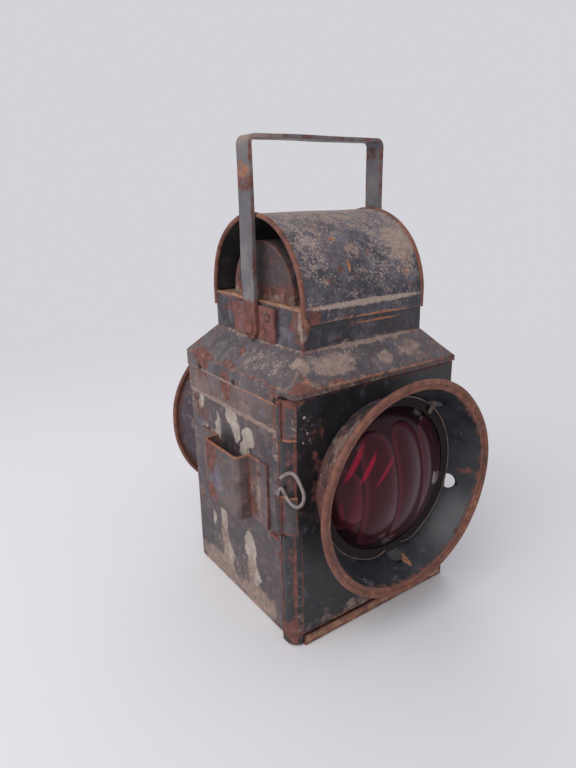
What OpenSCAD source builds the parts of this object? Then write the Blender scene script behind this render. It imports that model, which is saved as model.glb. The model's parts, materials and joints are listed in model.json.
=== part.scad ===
// Railway shunter lamp. A sheet-steel case on a shallow pan, a hinged front door with a red lens
// in a flared hood, a second lens and hood on the rear panel, a hipped roof, a barrel cowl open
// at both ends and a flat bail handle. Millimetres, Z up, the red lens looks toward -Y, and the
// origin is the middle of the underside.

/* [Case] */
// Outside width across the two side panels
case_w = 169; // [160:1:184]
// Outside depth from the door face to the rear panel
case_d = 168; // [160:1:184]
// Height of the roof eave above the ground
eave_z = 219; // [212:1:230]
// Thickness of the sheet metal
sheet_t = 1; // [0.8:0.1:1.2]
// Thickness of the thinner sheet of the roof and its skirt band
roof_t = 0.6; // [0.5:0.1:0.8]
// Clearance between pieces that move or rest beside each other
fit = 0.3; // [0.2:0.05:0.4]
// Clearance round a rivet or a seated ring
seat = 0.05; // [0.03:0.01:0.08]
// Width of the folded edges that lap inside the side panels at the rear
lap_w = 16; // [14:1:20]
// Height of the front lip of the base pan
lip_h = 9; // [6:0.5:9]
// Height of the upturned side edges of the base pan
pan_edge_h = 12; // [8:1:16]

/* [Door] */
// Depth of the door tray from face to back edge
door_depth = 13; // [12:0.5:15]
// Outside radius of the rounded door stile
stile_r = 10; // [8:0.5:10]
// Reach of the stile and of the frame flange past the side panel
stile_reach = 5; // [4:0.5:6]
// Gap between the shut door and the frame
door_gap = 0.8; // [0.5:0.1:1.2]
// Depth of the frame sleeve inside the case
sleeve_d = 20; // [18:1:24]
// Height of the lower edge of the door above the ground
door_sill_z = 10; // [9.5:0.5:12]

/* [Roof and neck] */
// Rise of the roof from the eave to the neck
roof_rise = 24; // [18:1:30]
// Height of the roof lip on the sides and the rear
roof_lip_h = 14.5; // [12:0.5:18]
// Height of the front lip of the roof
brow_h = 4.5; // [4:0.5:4.5]
// Depth of the skirt band below the eave
skirt_h = 36.5; // [30:0.5:40]
// Width of the neck across its end walls
neck_w = 124; // [118:1:130]
// Depth of the neck
neck_d = 130; // [124:1:134]
// Height of the neck above the roof
neck_h = 29; // [29:0.5:34]

/* [Cowl] */
// Drop of the cowl sides over the neck
cowl_lap = 10; // [8:0.5:14]
// Radius of the wired bead on each open end of the cowl
bead_r = 2; // [1.5:0.1:2]
// Outside radius of the inner smoke baffle
baffle_r = 44; // [38:1:50]
// Distance of the baffle ends from the cowl ends
baffle_inset = 8; // [6:0.5:14]
// Height of the baffle feet on the smoke deck
baffle_foot_h = 3; // [2:0.5:6]
// Distance of the baffle feet from the baffle ends
baffle_foot_inset = 16; // [10:1:24]
// Width of the baffle feet
baffle_foot_w = 10; // [8:1:14]
// Inside radius of the flue ring in the smoke deck
flue_r = 28; // [22:1:32]
// Height of the flue ring above the smoke deck
flue_h = 12; // [8:1:16]

/* [Handle] */
// Height of the handle top above its pivots
handle_rise = 147; // [125:1:160]
// Height of the pivots above the foot of the neck
pivot_rise = 7.6; // [7.4:0.1:9]
// Width of the handle strap
strap_w = 18; // [15:0.5:18.5]
// Thickness of the handle strap
strap_t = 3; // [2.5:0.25:4]
// Outside radius of the two upper bends
bend_r = 7; // [5:0.5:12]
// Width of the bracket plates
bracket_w = 62; // [54:1:70]
// Height of the bracket plates
bracket_h = 26.5; // [22:0.5:27]
// Thickness of the bracket plates
bracket_t = 2.5; // [2.5:0.1:3]
// Distance between the two flush rivets of a bracket
bracket_pitch = 42; // [36:1:48]
// Shank radius of the handle pivots
pivot_r = 2.5; // [2:0.1:3]

/* [Hood and lens] */
// Diameter of the pressed glass lens
lens_d = 136.5; // [134:0.5:137]
// Height of the lens axis above the ground
lens_z = 132; // [120:1:136]
// Diameter of the clear opening behind the lens
lens_open_d = 120; // [112:1:122]
// Outside diameter of the hood where it leaves the case
hood_root_d = 132; // [131:0.5:134]
// Inside diameter of the hood at its mouth
hood_mouth_d = 164; // [160:1:168]
// Outside diameter of the rolled rim
hood_rim_d = 180; // [176:1:182]
// Length of the hood from the panel to the mouth
hood_len = 39.2; // [37:0.2:40]
// Radius of the rolled rim
rim_bead_r = 2.3; // [1.8:0.1:2.6]
// Height of the lens seat above the panel
seat_h = 8; // [7.5:0.25:9]
// Thickness of the glass edge
glass_t = 3; // [2.5:0.25:4]
// Rise of the outer face of the glass
dome_rise = 23; // [14:0.5:24]
// Number of clip holes round the hood
clip_holes = 3; // [2:1:5]
// Angle between two clip holes
clip_pitch = 67.5; // [60:0.5:72]
// Diameter of the clip holes
clip_hole_d = 12.4; // [8:0.2:13]
// Angle of the first clip hole, from the right-hand side
clip_first = -85; // [-90:1:-60]
// Height of a clip hole's middle above the glass rim
clip_hole_rise = 3.7; // [3:0.1:6]

/* [Lamp iron socket] */
// Inside width of the socket
socket_w = 52; // [44:1:56]
// Inside depth of the socket away from the side panel
socket_depth = 12.5; // [10:0.5:16]
// Height of the socket
socket_h = 58; // [50:1:64]
// Plate thickness of the socket
socket_t = 2; // [1.5:0.1:2.5]
// Width of the two riveted flanges
socket_flange = 27; // [20:1:28]
// Position of the socket along the side panel, toward the rear
socket_y = 8; // [4:1:12]
// Height of the middle of the socket above the ground
socket_z = 121; // [112:1:130]

/* [Hinges and fastening] */
// Radius of the hinge knuckles
knuckle_r = 3.2; // [3:0.1:3.4]
// Radius of the hinge pins
hinge_pin_r = 1.6; // [1.4:0.1:1.8]
// Height of each hinge
hinge_h = 27; // [24:1:32]
// Width of the hinge leaf on the case, from the hinge line
hinge_leaf = 22; // [18:1:26]
// Distance between the middles of the two hinges
hinge_pitch = 106; // [90:1:108]
// Height of the hasp and of the upper corner strap
hasp_h = 33; // [28:1:34]
// Height of the lower edge of the hasp above the ground
hasp_z = 104; // [100:1:108]
// Thickness of the hasp and of the corner strap
hasp_t = 1.2; // [1:0.1:1.2]
// Radius of the wire of the hasp pin
wire_r = 1.4; // [1.2:0.1:1.4]
// Radius of the ring bent on the hasp pin, to the middle of the wire
ring_r = 13; // [11:0.5:14]
// Angle of the ring from the X axis
ring_turn = -80; // [-88:1:-80]

/* [Rivets] */
// Shank radius of the small rivets
rivet_r = 1.6; // [1.3:0.1:1.8]
// Head radius of the small rivets
rivet_head_r = 2.8; // [2.4:0.1:3.2]
// Head height of the small rivets
rivet_head_h = 1.2; // [0.8:0.1:1.5]
// Height of the lower wall rivets above the ground
rivet_low = 73; // [66:1:80]
// Distance of the upper wall rivets below the skirt band
rivet_drop = 8.5; // [6:0.5:14]
// Distance of the outer roof rivets from the front and rear of the case
roof_rivet_inset = 23; // [22:0.5:26]
// Distance of the roof rivets below the eave
roof_rivet_drop = 11; // [8.5:0.5:11]
// Distance of the socket rivets from the top and foot of the socket
socket_rivet_inset = 11; // [8:0.5:16]

/* [Burner] */
// Radius of the oil fount
fount_r = 44; // [38:1:48]
// Height of the oil fount
fount_h = 62; // [50:1:66]
// Radius of the burner body
burner_r = 15; // [14:0.5:17]
// Width of the wick
wick_w = 13; // [11:0.5:14]
// Thickness of the wick
wick_t = 2; // [1.6:0.1:2.4]
// Radius of the toothed wheels that raise the wick
wheel_r = 4; // [3.5:0.1:4.2]
// Radius of the winding knob
knob_r = 8; // [6:0.5:10]
// Distance that the winding spindle stands out of the burner
spindle_reach = 27; // [24:1:28]
// Radius of the filler cap
cap_r = 9; // [8:0.5:10]

/* [Hidden] */
$fn = 96;
cut = 1;
wall_x = case_w / 2;
rear_y = case_d / 2;
face_y = -case_d / 2;
shut_y = face_y + door_depth;
frame_y = shut_y + door_gap;
panel_y = frame_y + sheet_t;
sleeve_y = panel_y + sleeve_d;
lap_y = rear_y - lap_w;
brow_z = eave_z - brow_h;
wall_top = brow_z + 0.5;
door_top = brow_z - 1;
skirt_z = eave_z - skirt_h;
stile_x = -wall_x - stile_reach;
stile_cx = stile_x + stile_r;
stile_cy = face_y + stile_r;
lip_x = stile_cx + 0.5;
eave_x = wall_x + 2 * roof_t;
eave_y = rear_y + 2 * roof_t;
neck_x = neck_w / 2;
neck_y = neck_d / 2;
roof_top = eave_z + roof_rise;
neck_top = roof_top + neck_h;
deck_top = neck_top + sheet_t;
cowl_in = neck_y + seat;
cowl_out = cowl_in + sheet_t;
cowl_z = deck_top + 1.3;
cowl_foot = neck_top - cowl_lap;
bead_x = neck_x - 0.5;
baffle_x = neck_x - baffle_inset;
baffle_z = deck_top + baffle_foot_h;
bracket_x = neck_x + bracket_t;
leg_x = bracket_x + fit;
leg_out = leg_x + strap_t;
pivot_z = roof_top + pivot_rise + 0.1;
bracket_z = roof_top + fit;
bracket_rivet_z = bracket_h - 8;
handle_top = pivot_z + handle_rise;
root_r = hood_root_d / 2;
open_r = lens_open_d / 2;
mouth_r = hood_mouth_d / 2;
rim_r = hood_rim_d / 2;
rim_mid = rim_r - rim_bead_r;
glass_r = lens_d / 2;
glass_h = seat_h + sheet_t + 0.1;
glass_face = glass_h + glass_t;
dome_base = glass_r - 6.5;
dome_in = open_r - 2;
gasket_h = glass_face + 0.1;
gasket_t = 0.6;
gasket_over = 1.4;
spring_r = 0.7;
spring_h = gasket_h + gasket_t + spring_r + seat;
clip_h = spring_h + spring_r + 0.25;
clip_t = 1;
clip_w = 4.8;
clip_hole_h = glass_face + clip_hole_rise;
socket_x = wall_x + socket_depth + socket_t;
socket_half = socket_w / 2 + socket_t;
socket_round = 5;
hinge_x = wall_x + knuckle_r + 0.4;
hinge_y = (shut_y + frame_y) / 2;
knuckle_h = (hinge_h - 2 * fit) / 3;
knuckle_room = knuckle_r + fit;
swing_reach = hinge_x - lip_x;
foot_play = fit + pow(door_depth + 2 * sheet_t, 2) / (2 * swing_reach);
case_rivet_across = 13;
door_rivet_across = -knuckle_room - 4.6;
strap_r = stile_r + seat;
strap_out = strap_r + hasp_t;
strap_z = skirt_z;
strap_h = door_top - strap_z;
eye_r = wire_r + seat + 1.15;
pin_x = stile_x - 3.4;
pin_y = stile_cy + 1.2;
keeper_t = 2.4;
keeper_play = 0.8;
keeper_z = hasp_z - fit - keeper_t - 0.5;
pin_foot = keeper_z - 2.8;
ring_z = hasp_z + hasp_h + 11;
rivet_high = skirt_z - rivet_drop;
lap_rivet_y = lap_y + lap_w / 2;
sleeve_rivet_y = sleeve_y - 9;
roof_rivet_pitch = rear_y - roof_rivet_inset;
roof_rivet_z = eave_z - roof_rivet_drop;
socket_rivet_z = socket_h / 2 - socket_rivet_inset;
tin_t = 0.8;
fount_z = sheet_t;
fount_top = fount_z + fount_h;
collar_h = 8;
burner_z = fount_top + collar_h;
burner_h = 24;
dome_z = burner_z + burner_h;
tube_wall = 0.8;
tube_play = 0.25;
tube_w = wick_w + 2 * (tube_wall + tube_play);
tube_d = wick_t + 2 * (tube_wall + tube_play);
tube_foot = fount_top - 12;
tube_top = dome_z + 6;
spindle_r = 1.2;
wheel_w = 2.4;
spindle_y = -(wick_t / 2 + tube_play + wheel_r);
spindle_z = burner_z + 9;
spindle_x = burner_r + spindle_reach;
cap_y = -29;
filler_r = cap_r - 2;
filler_h = 7;
filler_wall = 1.5;
collar_in = burner_r - 3;
collar_out = burner_r + 1.5;
wheel_x = 4;

// Shared shapes

module slab(a, b) {
  translate(a)
    cube([b[0] - a[0], b[1] - a[1], b[2] - a[2]]);
}

module both_sides() {
  children();
  mirror([1, 0, 0])
    children();
}

// A cylinder along X that starts at from_x and runs toward +X
module rod_x(from_x, y, z, r, length) {
  translate([from_x, y, z])
    rotate([0, 90, 0])
      cylinder(r = r, h = length);
}

// A low domed head that stands on z = 0
module head(r, h) {
  ball = (r * r + h * h) / (2 * h);
  intersection() {
    translate([0, 0, h - ball])
      sphere(r = ball);
    cylinder(r = r, h = h);
  }
}

// A rivet through the left side from outer_x inward by grip, with a head at each end
module side_rivet(outer_x, grip) {
  translate([-outer_x, 0, 0])
    rotate([0, -90, 0])
      head(rivet_head_r, rivet_head_h);
  rod_x(-outer_x, 0, 0, rivet_r, grip);
  rod_x(-outer_x + grip, 0, 0, rivet_head_r, rivet_head_h);
}

module side_rivet_hole() {
  rod_x(-eave_x - cut - socket_t, 0, 0, rivet_r + seat, 4 * sheet_t + 2 * cut + socket_t);
}

module lap_rivet_places() {
  for (z = [rivet_low, rivet_high])
    translate([0, lap_rivet_y, z])
      children();
}

module sleeve_rivet_places() {
  for (z = [rivet_low, rivet_high])
    translate([0, sleeve_rivet_y, z])
      children();
}

// Two rivets through one leaf of each hinge, at a distance across from the hinge line
module hinge_rivet_places(across) {
  hinge_places()
    for (z = [hinge_h * 0.25, hinge_h * 0.75])
      translate([0, hinge_y + across, z])
        children();
}

module roof_rivet_places() {
  for (k = [-1 : 1])
    translate([0, k * roof_rivet_pitch, roof_rivet_z])
      children();
}

module socket_rivet_places() {
  for (s = [-1, 1], k = [-1, 1])
    translate([0, socket_y + s * (socket_half + socket_flange / 2), socket_z + k * socket_rivet_z])
      children();
}

module left_holes() {
  lap_rivet_places()
    side_rivet_hole();
  sleeve_rivet_places()
    side_rivet_hole();
  roof_rivet_places()
    side_rivet_hole();
}

module right_holes() {
  mirror([1, 0, 0]) {
    lap_rivet_places()
      side_rivet_hole();
    hinge_rivet_places(case_rivet_across)
      side_rivet_hole();
    roof_rivet_places()
      side_rivet_hole();
  }
}

// Frame whose +Z axis runs outward from the door along the lens axis
module front_axis() {
  translate([0, face_y, lens_z])
    rotate([90, 0, 0])
      children();
}

// The same frame turned round to the rear panel
module rear_axis() {
  translate([0, rear_y, lens_z])
    rotate([90, 0, 180])
      children();
}

// Case

module base_pan() {
  color("#4a3a33") {
    slab([-wall_x + sheet_t, panel_y, 0], [wall_x - sheet_t, rear_y, sheet_t]);
    slab([lip_x, face_y - 2 * sheet_t, 0], [wall_x, panel_y + cut, sheet_t]);
    slab([lip_x, face_y - 2 * sheet_t, 0], [wall_x, face_y - sheet_t, lip_h]);
    both_sides()
      slab([-wall_x + sheet_t, sleeve_y + fit, 0],
           [-wall_x + 2 * sheet_t, lap_y - fit, pan_edge_h]);
  }
}

module left_side_panel() {
  color("#55565e")
    difference() {
      slab([-wall_x, panel_y, 0], [-wall_x + sheet_t, rear_y, wall_top]);
      left_holes();
      socket_rivet_places()
        side_rivet_hole();
    }
}

module right_side_panel() {
  color("#4a4b52")
    difference() {
      slab([wall_x - sheet_t, panel_y, 0], [wall_x, rear_y, wall_top]);
      right_holes();
    }
}

module rear_panel() {
  color("#3c3d44")
    difference() {
      slab([-wall_x + sheet_t, lap_y, sheet_t], [wall_x - sheet_t, rear_y, wall_top]);
      slab([-wall_x + 2 * sheet_t, lap_y - cut, 0], [wall_x - 2 * sheet_t, rear_y - sheet_t, eave_z]);
      rear_axis()
        translate([0, 0, -2 * lap_w])
          cylinder(r = open_r, h = 4 * lap_w);
      left_holes();
      right_holes();
    }
}

module door_frame() {
  color("#5a3d34")
    difference() {
      union() {
        slab([stile_x, frame_y, sheet_t], [wall_x, panel_y, wall_top]);
        slab([-wall_x + sheet_t, panel_y, sheet_t], [wall_x - sheet_t, sleeve_y, wall_top]);
      }
      slab([-wall_x + 2 * sheet_t, frame_y - cut, 2 * sheet_t],
           [wall_x - 2 * sheet_t, sleeve_y + cut, wall_top - sheet_t]);
      left_holes();
      right_holes();
    }
}

module wall_rivets() {
  color("#5c463c") {
    both_sides()
      lap_rivet_places()
        side_rivet(wall_x, 2 * sheet_t);
    sleeve_rivet_places()
      side_rivet(wall_x, 2 * sheet_t);
  }
}

// Roof, neck and cowl

module roof_skirt_band() {
  color("#5b5350")
    difference() {
      slab([-wall_x - roof_t, panel_y, skirt_z], [wall_x + roof_t, rear_y + roof_t, wall_top]);
      slab([-wall_x, panel_y - cut, 0], [wall_x, rear_y, eave_z]);
      rear_axis()
        translate([0, 0, -cut])
          cylinder(r = root_r + roof_t + fit, h = roof_t + 2 * cut);
      left_holes();
      right_holes();
    }
}

module roof_block(drop) {
  translate([0, 0, -drop])
    intersection() {
      rotate([90, 0, 0])
        linear_extrude(height = 2 * eave_y, center = true)
          polygon([[-eave_x, eave_z], [eave_x, eave_z], [neck_x, roof_top], [-neck_x, roof_top]]);
      rotate([90, 0, 90])
        linear_extrude(height = 2 * eave_x, center = true)
          polygon([[-eave_y, eave_z], [eave_y, eave_z], [neck_y, roof_top], [-neck_y, roof_top]]);
    }
}

module roof() {
  color("#575052")
    difference() {
      union() {
        difference() {
          roof_block(0);
          roof_block(1.45 * roof_t);
          slab([-neck_x - seat, -neck_y - seat, eave_z + 2 * cut],
               [neck_x + seat, neck_y + seat, roof_top + cut]);
        }
        difference() {
          slab([-eave_x, -eave_y, eave_z - roof_lip_h], [eave_x, eave_y, eave_z]);
          slab([-eave_x + roof_t, -eave_y + roof_t, 0], [eave_x - roof_t, eave_y - roof_t, eave_z + cut]);
          slab([-eave_x - cut, -eave_y - cut, 0], [eave_x + cut, panel_y, brow_z]);
        }
        slab([-eave_x + roof_t, -eave_y + roof_t, wall_top], [eave_x - roof_t, panel_y, wall_top + roof_t]);
      }
      left_holes();
      right_holes();
    }
}

module roof_rivets() {
  color("#6b4a3c")
    both_sides()
      for (k = [-1 : 1])
        translate([0, k * roof_rivet_pitch, roof_rivet_z])
          side_rivet(eave_x, 2 * roof_t + (k < 0 ? 2 : 1) * sheet_t);
}

module bracket_rivet_places() {
  for (s = [-1, 1])
    translate([0, s * bracket_pitch / 2, bracket_z + bracket_rivet_z])
      children();
}

module neck() {
  color("#504e54")
    difference() {
      slab([-neck_x, -neck_y, roof_top - 4 * sheet_t], [neck_x, neck_y, neck_top]);
      slab([-neck_x + sheet_t, -neck_y + sheet_t, 0], [neck_x - sheet_t, neck_y - sheet_t, neck_top + cut]);
      both_sides() {
        rod_x(-neck_x - cut, 0, pivot_z, pivot_r + seat, 2 * cut + sheet_t);
        bracket_rivet_places()
          rod_x(-neck_x - cut, 0, 0, rivet_r + seat, 2 * cut + sheet_t);
      }
    }
}

module smoke_deck() {
  color("#8a6650")
    difference() {
      slab([-neck_x, -neck_y, neck_top], [neck_x, neck_y, deck_top]);
      translate([0, 0, neck_top - cut])
        cylinder(r = flue_r, h = sheet_t + 2 * cut);
    }
}

module flue_ring() {
  color("#4b4340")
    difference() {
      translate([0, 0, deck_top])
        cylinder(r = flue_r + sheet_t, h = flue_h);
      translate([0, 0, deck_top - cut])
        cylinder(r = flue_r, h = flue_h + 2 * cut);
    }
}

// Barrel sheet of the cowl from one end to the other, with its straight sides
module barrel(inner, outer, half) {
  difference() {
    union() {
      rod_x(-half, 0, cowl_z, outer, 2 * half);
      slab([-half, -outer, cowl_foot], [half, outer, cowl_z]);
    }
    rod_x(-half - cut, 0, cowl_z, inner, 2 * half + 2 * cut);
    slab([-half - cut, -inner, 0], [half + cut, inner, cowl_z]);
    slab([-half - cut, -outer - cut, 0], [half + cut, outer + cut, cowl_foot]);
  }
}

module cowl_barrel() {
  color("#6a6266")
    barrel(cowl_in, cowl_out, neck_x);
}

module cowl_end_beads() {
  mid = (cowl_in + cowl_out) / 2;
  color("#6e4f45")
    difference() {
      both_sides() {
        translate([-bead_x, 0, cowl_z])
          rotate([90, 0, 90])
            rotate_extrude(angle = 180)
              translate([mid, 0])
                circle(r = bead_r, $fn = 48);
        for (s = [-1, 1])
          translate([-bead_x, s * mid, cowl_foot])
            cylinder(r = bead_r, h = cowl_z - cowl_foot, $fn = 48);
      }
      barrel(cowl_in, cowl_out, neck_x);
      slab([-neck_x, -cowl_in, 0], [neck_x, cowl_in, deck_top]);
    }
}

module smoke_baffle() {
  foot_x = baffle_x - baffle_foot_inset;
  foot_y = baffle_r - sheet_t / 2;
  color("#6d5a50") {
    difference() {
      rod_x(-baffle_x, 0, baffle_z, baffle_r, 2 * baffle_x);
      rod_x(-baffle_x + sheet_t, 0, baffle_z, baffle_r - sheet_t, 2 * (baffle_x - sheet_t));
      slab([-baffle_x - cut, -baffle_r - cut, 0], [baffle_x + cut, baffle_r + cut, baffle_z]);
    }
    for (s = [-1, 1], k = [-1, 1])
      slab([s * foot_x - baffle_foot_w / 2, k * foot_y - sheet_t / 2, deck_top],
           [s * foot_x + baffle_foot_w / 2, k * foot_y + sheet_t / 2, baffle_z + sheet_t]);
  }
}

// Handle

module strap_outline(half, foot, top, r) {
  translate([-half, foot])
    square([2 * half, top - r - foot]);
  translate([-half + r, foot])
    square([2 * (half - r), top - foot]);
  for (s = [-1, 1])
    translate([s * (half - r), top - r])
      circle(r = r);
}

module handle() {
  color("#55575b")
    difference() {
      union() {
        rotate([90, 0, 0])
          linear_extrude(height = strap_w, center = true)
            difference() {
              strap_outline(leg_out, pivot_z, handle_top, bend_r);
              strap_outline(leg_x, pivot_z - cut, handle_top - strap_t, bend_r - strap_t);
            }
        both_sides()
          rod_x(-leg_out, 0, pivot_z, strap_w / 2, strap_t);
      }
      both_sides()
        rod_x(-leg_out - cut, 0, pivot_z, pivot_r + seat, strap_t + 2 * cut);
    }
}

// A flush countersunk rivet body, grown by play for its hole
module flush_rivet(play) {
  sink = 1.4;
  rod_x(-bracket_x, 0, 0, rivet_r + play, bracket_t + sheet_t);
  translate([-bracket_x, 0, 0])
    rotate([0, 90, 0])
      cylinder(r1 = rivet_r + sink + play, r2 = rivet_r + play, h = sink);
}

module handle_brackets() {
  color("#74443a")
    both_sides()
      difference() {
        slab([-bracket_x, -bracket_w / 2, bracket_z], [-neck_x, bracket_w / 2, bracket_z + bracket_h]);
        rod_x(-bracket_x - cut, 0, pivot_z, pivot_r + seat, bracket_t + 2 * cut);
        bracket_rivet_places()
          flush_rivet(seat);
      }
}

module bracket_rivets() {
  color("#7d4c40")
    both_sides()
      bracket_rivet_places() {
        flush_rivet(0);
        rod_x(-neck_x + sheet_t, 0, 0, rivet_head_r, rivet_head_h);
      }
}

module handle_pivot_rivets() {
  head_r = 2 * pivot_r;
  head_h = 2;
  tail_r = head_r - 0.5;
  tail_h = 1.5;
  color("#6e4034")
    both_sides() {
      translate([-leg_out - fit, 0, pivot_z])
        rotate([0, -90, 0])
          head(head_r, head_h);
      rod_x(-leg_out - fit, 0, pivot_z, pivot_r, strap_t + 2 * fit + bracket_t + sheet_t);
      rod_x(-neck_x + sheet_t, 0, pivot_z, tail_r, tail_h);
    }
}

// Lamp iron socket on the left side

module socket_outline(half, reach, r) {
  translate([-reach + r, -half])
    square([reach - r - wall_x, 2 * half]);
  translate([-reach, -half + r])
    square([reach - wall_x, 2 * (half - r)]);
  for (s = [-1, 1])
    translate([-reach + r, s * (half - r)])
      circle(r = r);
}

module lamp_iron_socket() {
  color("#5a4f50")
    difference() {
      translate([0, socket_y, socket_z])
        linear_extrude(height = socket_h, center = true)
          difference() {
            union() {
              socket_outline(socket_half, socket_x, socket_round);
              translate([-wall_x - socket_t, -socket_half - socket_flange])
                square([socket_t, 2 * (socket_half + socket_flange)]);
            }
            socket_outline(socket_w / 2, socket_x - socket_t, socket_round - socket_t);
          }
      socket_rivet_places()
        side_rivet_hole();
    }
}

module socket_rivets() {
  color("#6a4238")
    socket_rivet_places()
      side_rivet(wall_x + socket_t, socket_t + sheet_t);
}

// Hood and lens, drawn along +Z from the panel at z = 0

function cone_in(h) = root_r - sheet_t + (mouth_r - root_r + sheet_t) * h / hood_len;

module hood_shape() {
  difference() {
    rotate_extrude()
      polygon([
        [open_r, 0],
        [root_r, 0],
        [mouth_r + sheet_t, hood_len - sheet_t],
        [rim_mid, hood_len - sheet_t],
        [rim_mid, hood_len],
        [mouth_r, hood_len],
        [cone_in(sheet_t), sheet_t],
        [open_r, sheet_t]
      ]);
    for (k = [0 : clip_holes - 1])
      rotate([0, 0, clip_first + k * clip_pitch])
        translate([root_r - 4 * sheet_t, 0, clip_hole_h])
          rotate([0, 90, 0])
            cylinder(r = clip_hole_d / 2, h = 2 * clip_hole_d, $fn = 48);
  }
}

module hood_rim_shape() {
  rotate_extrude()
    difference() {
      translate([rim_mid, hood_len - sheet_t / 2])
        circle(r = rim_bead_r, $fn = 48);
      translate([rim_mid - 2 * rim_bead_r, hood_len - sheet_t])
        square([2 * rim_bead_r, sheet_t]);
    }
}

module seat_shape() {
  rotate_extrude()
    polygon([
      [open_r, seat_h],
      [cone_in(seat_h) - seat, seat_h],
      [cone_in(seat_h + sheet_t) - seat, seat_h + sheet_t],
      [open_r, seat_h + sheet_t]
    ]);
}

module lens_shape() {
  outer = (dome_base * dome_base + dome_rise * dome_rise) / (2 * dome_rise);
  inner_rise = dome_rise - 0.5;
  inner = (dome_in * dome_in + inner_rise * inner_rise) / (2 * inner_rise);
  difference() {
    union() {
      translate([0, 0, glass_h])
        cylinder(r = glass_r, h = glass_t);
      intersection() {
        translate([0, 0, glass_face + dome_rise - outer])
          sphere(r = outer);
        translate([0, 0, glass_face - cut])
          cylinder(r = dome_base, h = dome_rise + 2 * cut);
      }
    }
    intersection() {
      translate([0, 0, glass_h + inner_rise - inner])
        sphere(r = inner);
      translate([0, 0, glass_h - cut])
        cylinder(r = dome_in, h = dome_rise + 2 * cut);
    }
  }
}

module gasket_shape() {
  difference() {
    translate([0, 0, gasket_h])
      cylinder(r = glass_r + gasket_over, h = gasket_t);
    translate([0, 0, gasket_h - cut])
      cylinder(r = dome_base + fit, h = gasket_t + 2 * cut);
  }
}

// A split spring wire that rests on the gasket inside the hood, open at the first clip hole
module spring_shape() {
  split = 16;
  rotate([0, 0, clip_first + split / 2])
    rotate_extrude(angle = 360 - split)
      translate([cone_in(spring_h) - spring_r - fit, spring_h])
        circle(r = spring_r, $fn = 32);
}

module clip_shape() {
  reach = cone_in(clip_h) + 2.5 * sheet_t;
  hook = dome_base + 1.5;
  leg = 3;
  rotate([0, 0, clip_first + (clip_holes - 1) * clip_pitch]) {
    slab([hook, -clip_w / 2, clip_h], [reach, clip_w / 2, clip_h + clip_t]);
    slab([hook, -clip_w / 2, gasket_h + gasket_t + 0.1], [hook + clip_t, clip_w / 2, clip_h + clip_t]);
    slab([reach - clip_t, -clip_w / 2, clip_h - leg], [reach, clip_w / 2, clip_h + clip_t]);
  }
}

module front_hood() {
  color("#2c2d33")
    front_axis()
      hood_shape();
}

module front_hood_rim() {
  color("#7a5a50")
    front_axis()
      hood_rim_shape();
}

module front_lens_seat() {
  color("#3a3236")
    front_axis()
      seat_shape();
}

module front_lens() {
  color("#7a1018")
    front_axis()
      lens_shape();
}

module front_lens_gasket() {
  color("#33201e")
    front_axis()
      gasket_shape();
}

module front_lens_spring() {
  color("#7c6a60")
    front_axis()
      spring_shape();
}

module front_lens_clip() {
  color("#8a8480")
    front_axis()
      clip_shape();
}

module rear_hood() {
  color("#2c2d33")
    rear_axis()
      hood_shape();
}

module rear_hood_rim() {
  color("#5f4a44")
    rear_axis()
      hood_rim_shape();
}

module rear_lens_seat() {
  color("#3a3236")
    rear_axis()
      seat_shape();
}

module rear_lens() {
  color("#c8d2d0")
    rear_axis()
      lens_shape();
}

module rear_lens_gasket() {
  color("#2b2626")
    rear_axis()
      gasket_shape();
}

module rear_lens_spring() {
  color("#7c6a60")
    rear_axis()
      spring_shape();
}

// Door

module door_outline(inset, back) {
  left = stile_x + inset;
  front = face_y + inset;
  r = stile_r - inset;
  translate([left + r, front])
    square([wall_x - inset - left - r, shut_y + back - front]);
  translate([left, front + r])
    square([r, shut_y + back - front - r]);
  intersection() {
    translate([left + r, front + r])
      circle(r = r);
    translate([left, front])
      square(r);
  }
}

module door_wall() {
  difference() {
    door_outline(0, 0);
    door_outline(sheet_t, cut);
  }
}

// The part of a door outline that belongs to the stile, clear of the pan lip
module stile_part() {
  intersection() {
    children();
    translate([stile_x - cut, face_y - cut])
      square([lip_x - foot_play - stile_x + cut, door_depth + 2 * cut]);
  }
}

module door_panel() {
  color("#26292a")
    difference() {
      union() {
        translate([0, 0, door_sill_z])
          linear_extrude(height = door_top - door_sill_z)
            door_wall();
        for (z = [door_sill_z, door_top - sheet_t])
          translate([0, 0, z])
            linear_extrude(height = sheet_t)
              door_outline(0, 0);
        translate([0, 0, sheet_t + fit])
          linear_extrude(height = door_sill_z - fit - sheet_t / 2)
            stile_part()
              door_wall();
        translate([0, 0, sheet_t + fit])
          linear_extrude(height = sheet_t)
            stile_part()
              door_outline(0, 0);
      }
      front_axis()
        translate([0, 0, -door_depth])
          cylinder(r = open_r, h = 2 * door_depth);
      mirror([1, 0, 0])
        hinge_rivet_places(door_rivet_across)
          side_rivet_hole();
    }
}

module strap_sector() {
  far = 3 * stile_r;
  end = 252;
  intersection() {
    difference() {
      circle(r = strap_out);
      circle(r = strap_r);
    }
    polygon([[0, 0], [-far, 0], [-far, -far], [far * cos(end), far * sin(end)]]);
  }
}

module upper_corner_strap() {
  roll_r = 2;
  color("#3d3334")
    translate([stile_cx, stile_cy, strap_z])
      linear_extrude(height = strap_h) {
        strap_sector();
        translate([-strap_out - roll_r + 0.6, -roll_r / 2])
          circle(r = roll_r, $fn = 48);
      }
}

module hasp() {
  color("#463232")
    translate([0, 0, hasp_z])
      linear_extrude(height = hasp_h)
        difference() {
          union() {
            translate([stile_cx, stile_cy])
              strap_sector();
            translate([pin_x, pin_y])
              circle(r = eye_r, $fn = 64);
            translate([pin_x, stile_cy - 1.8])
              square([stile_x - 0.6 - pin_x, 1.8]);
          }
          translate([pin_x, pin_y])
            circle(r = wire_r + seat, $fn = 64);
        }
}

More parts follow.
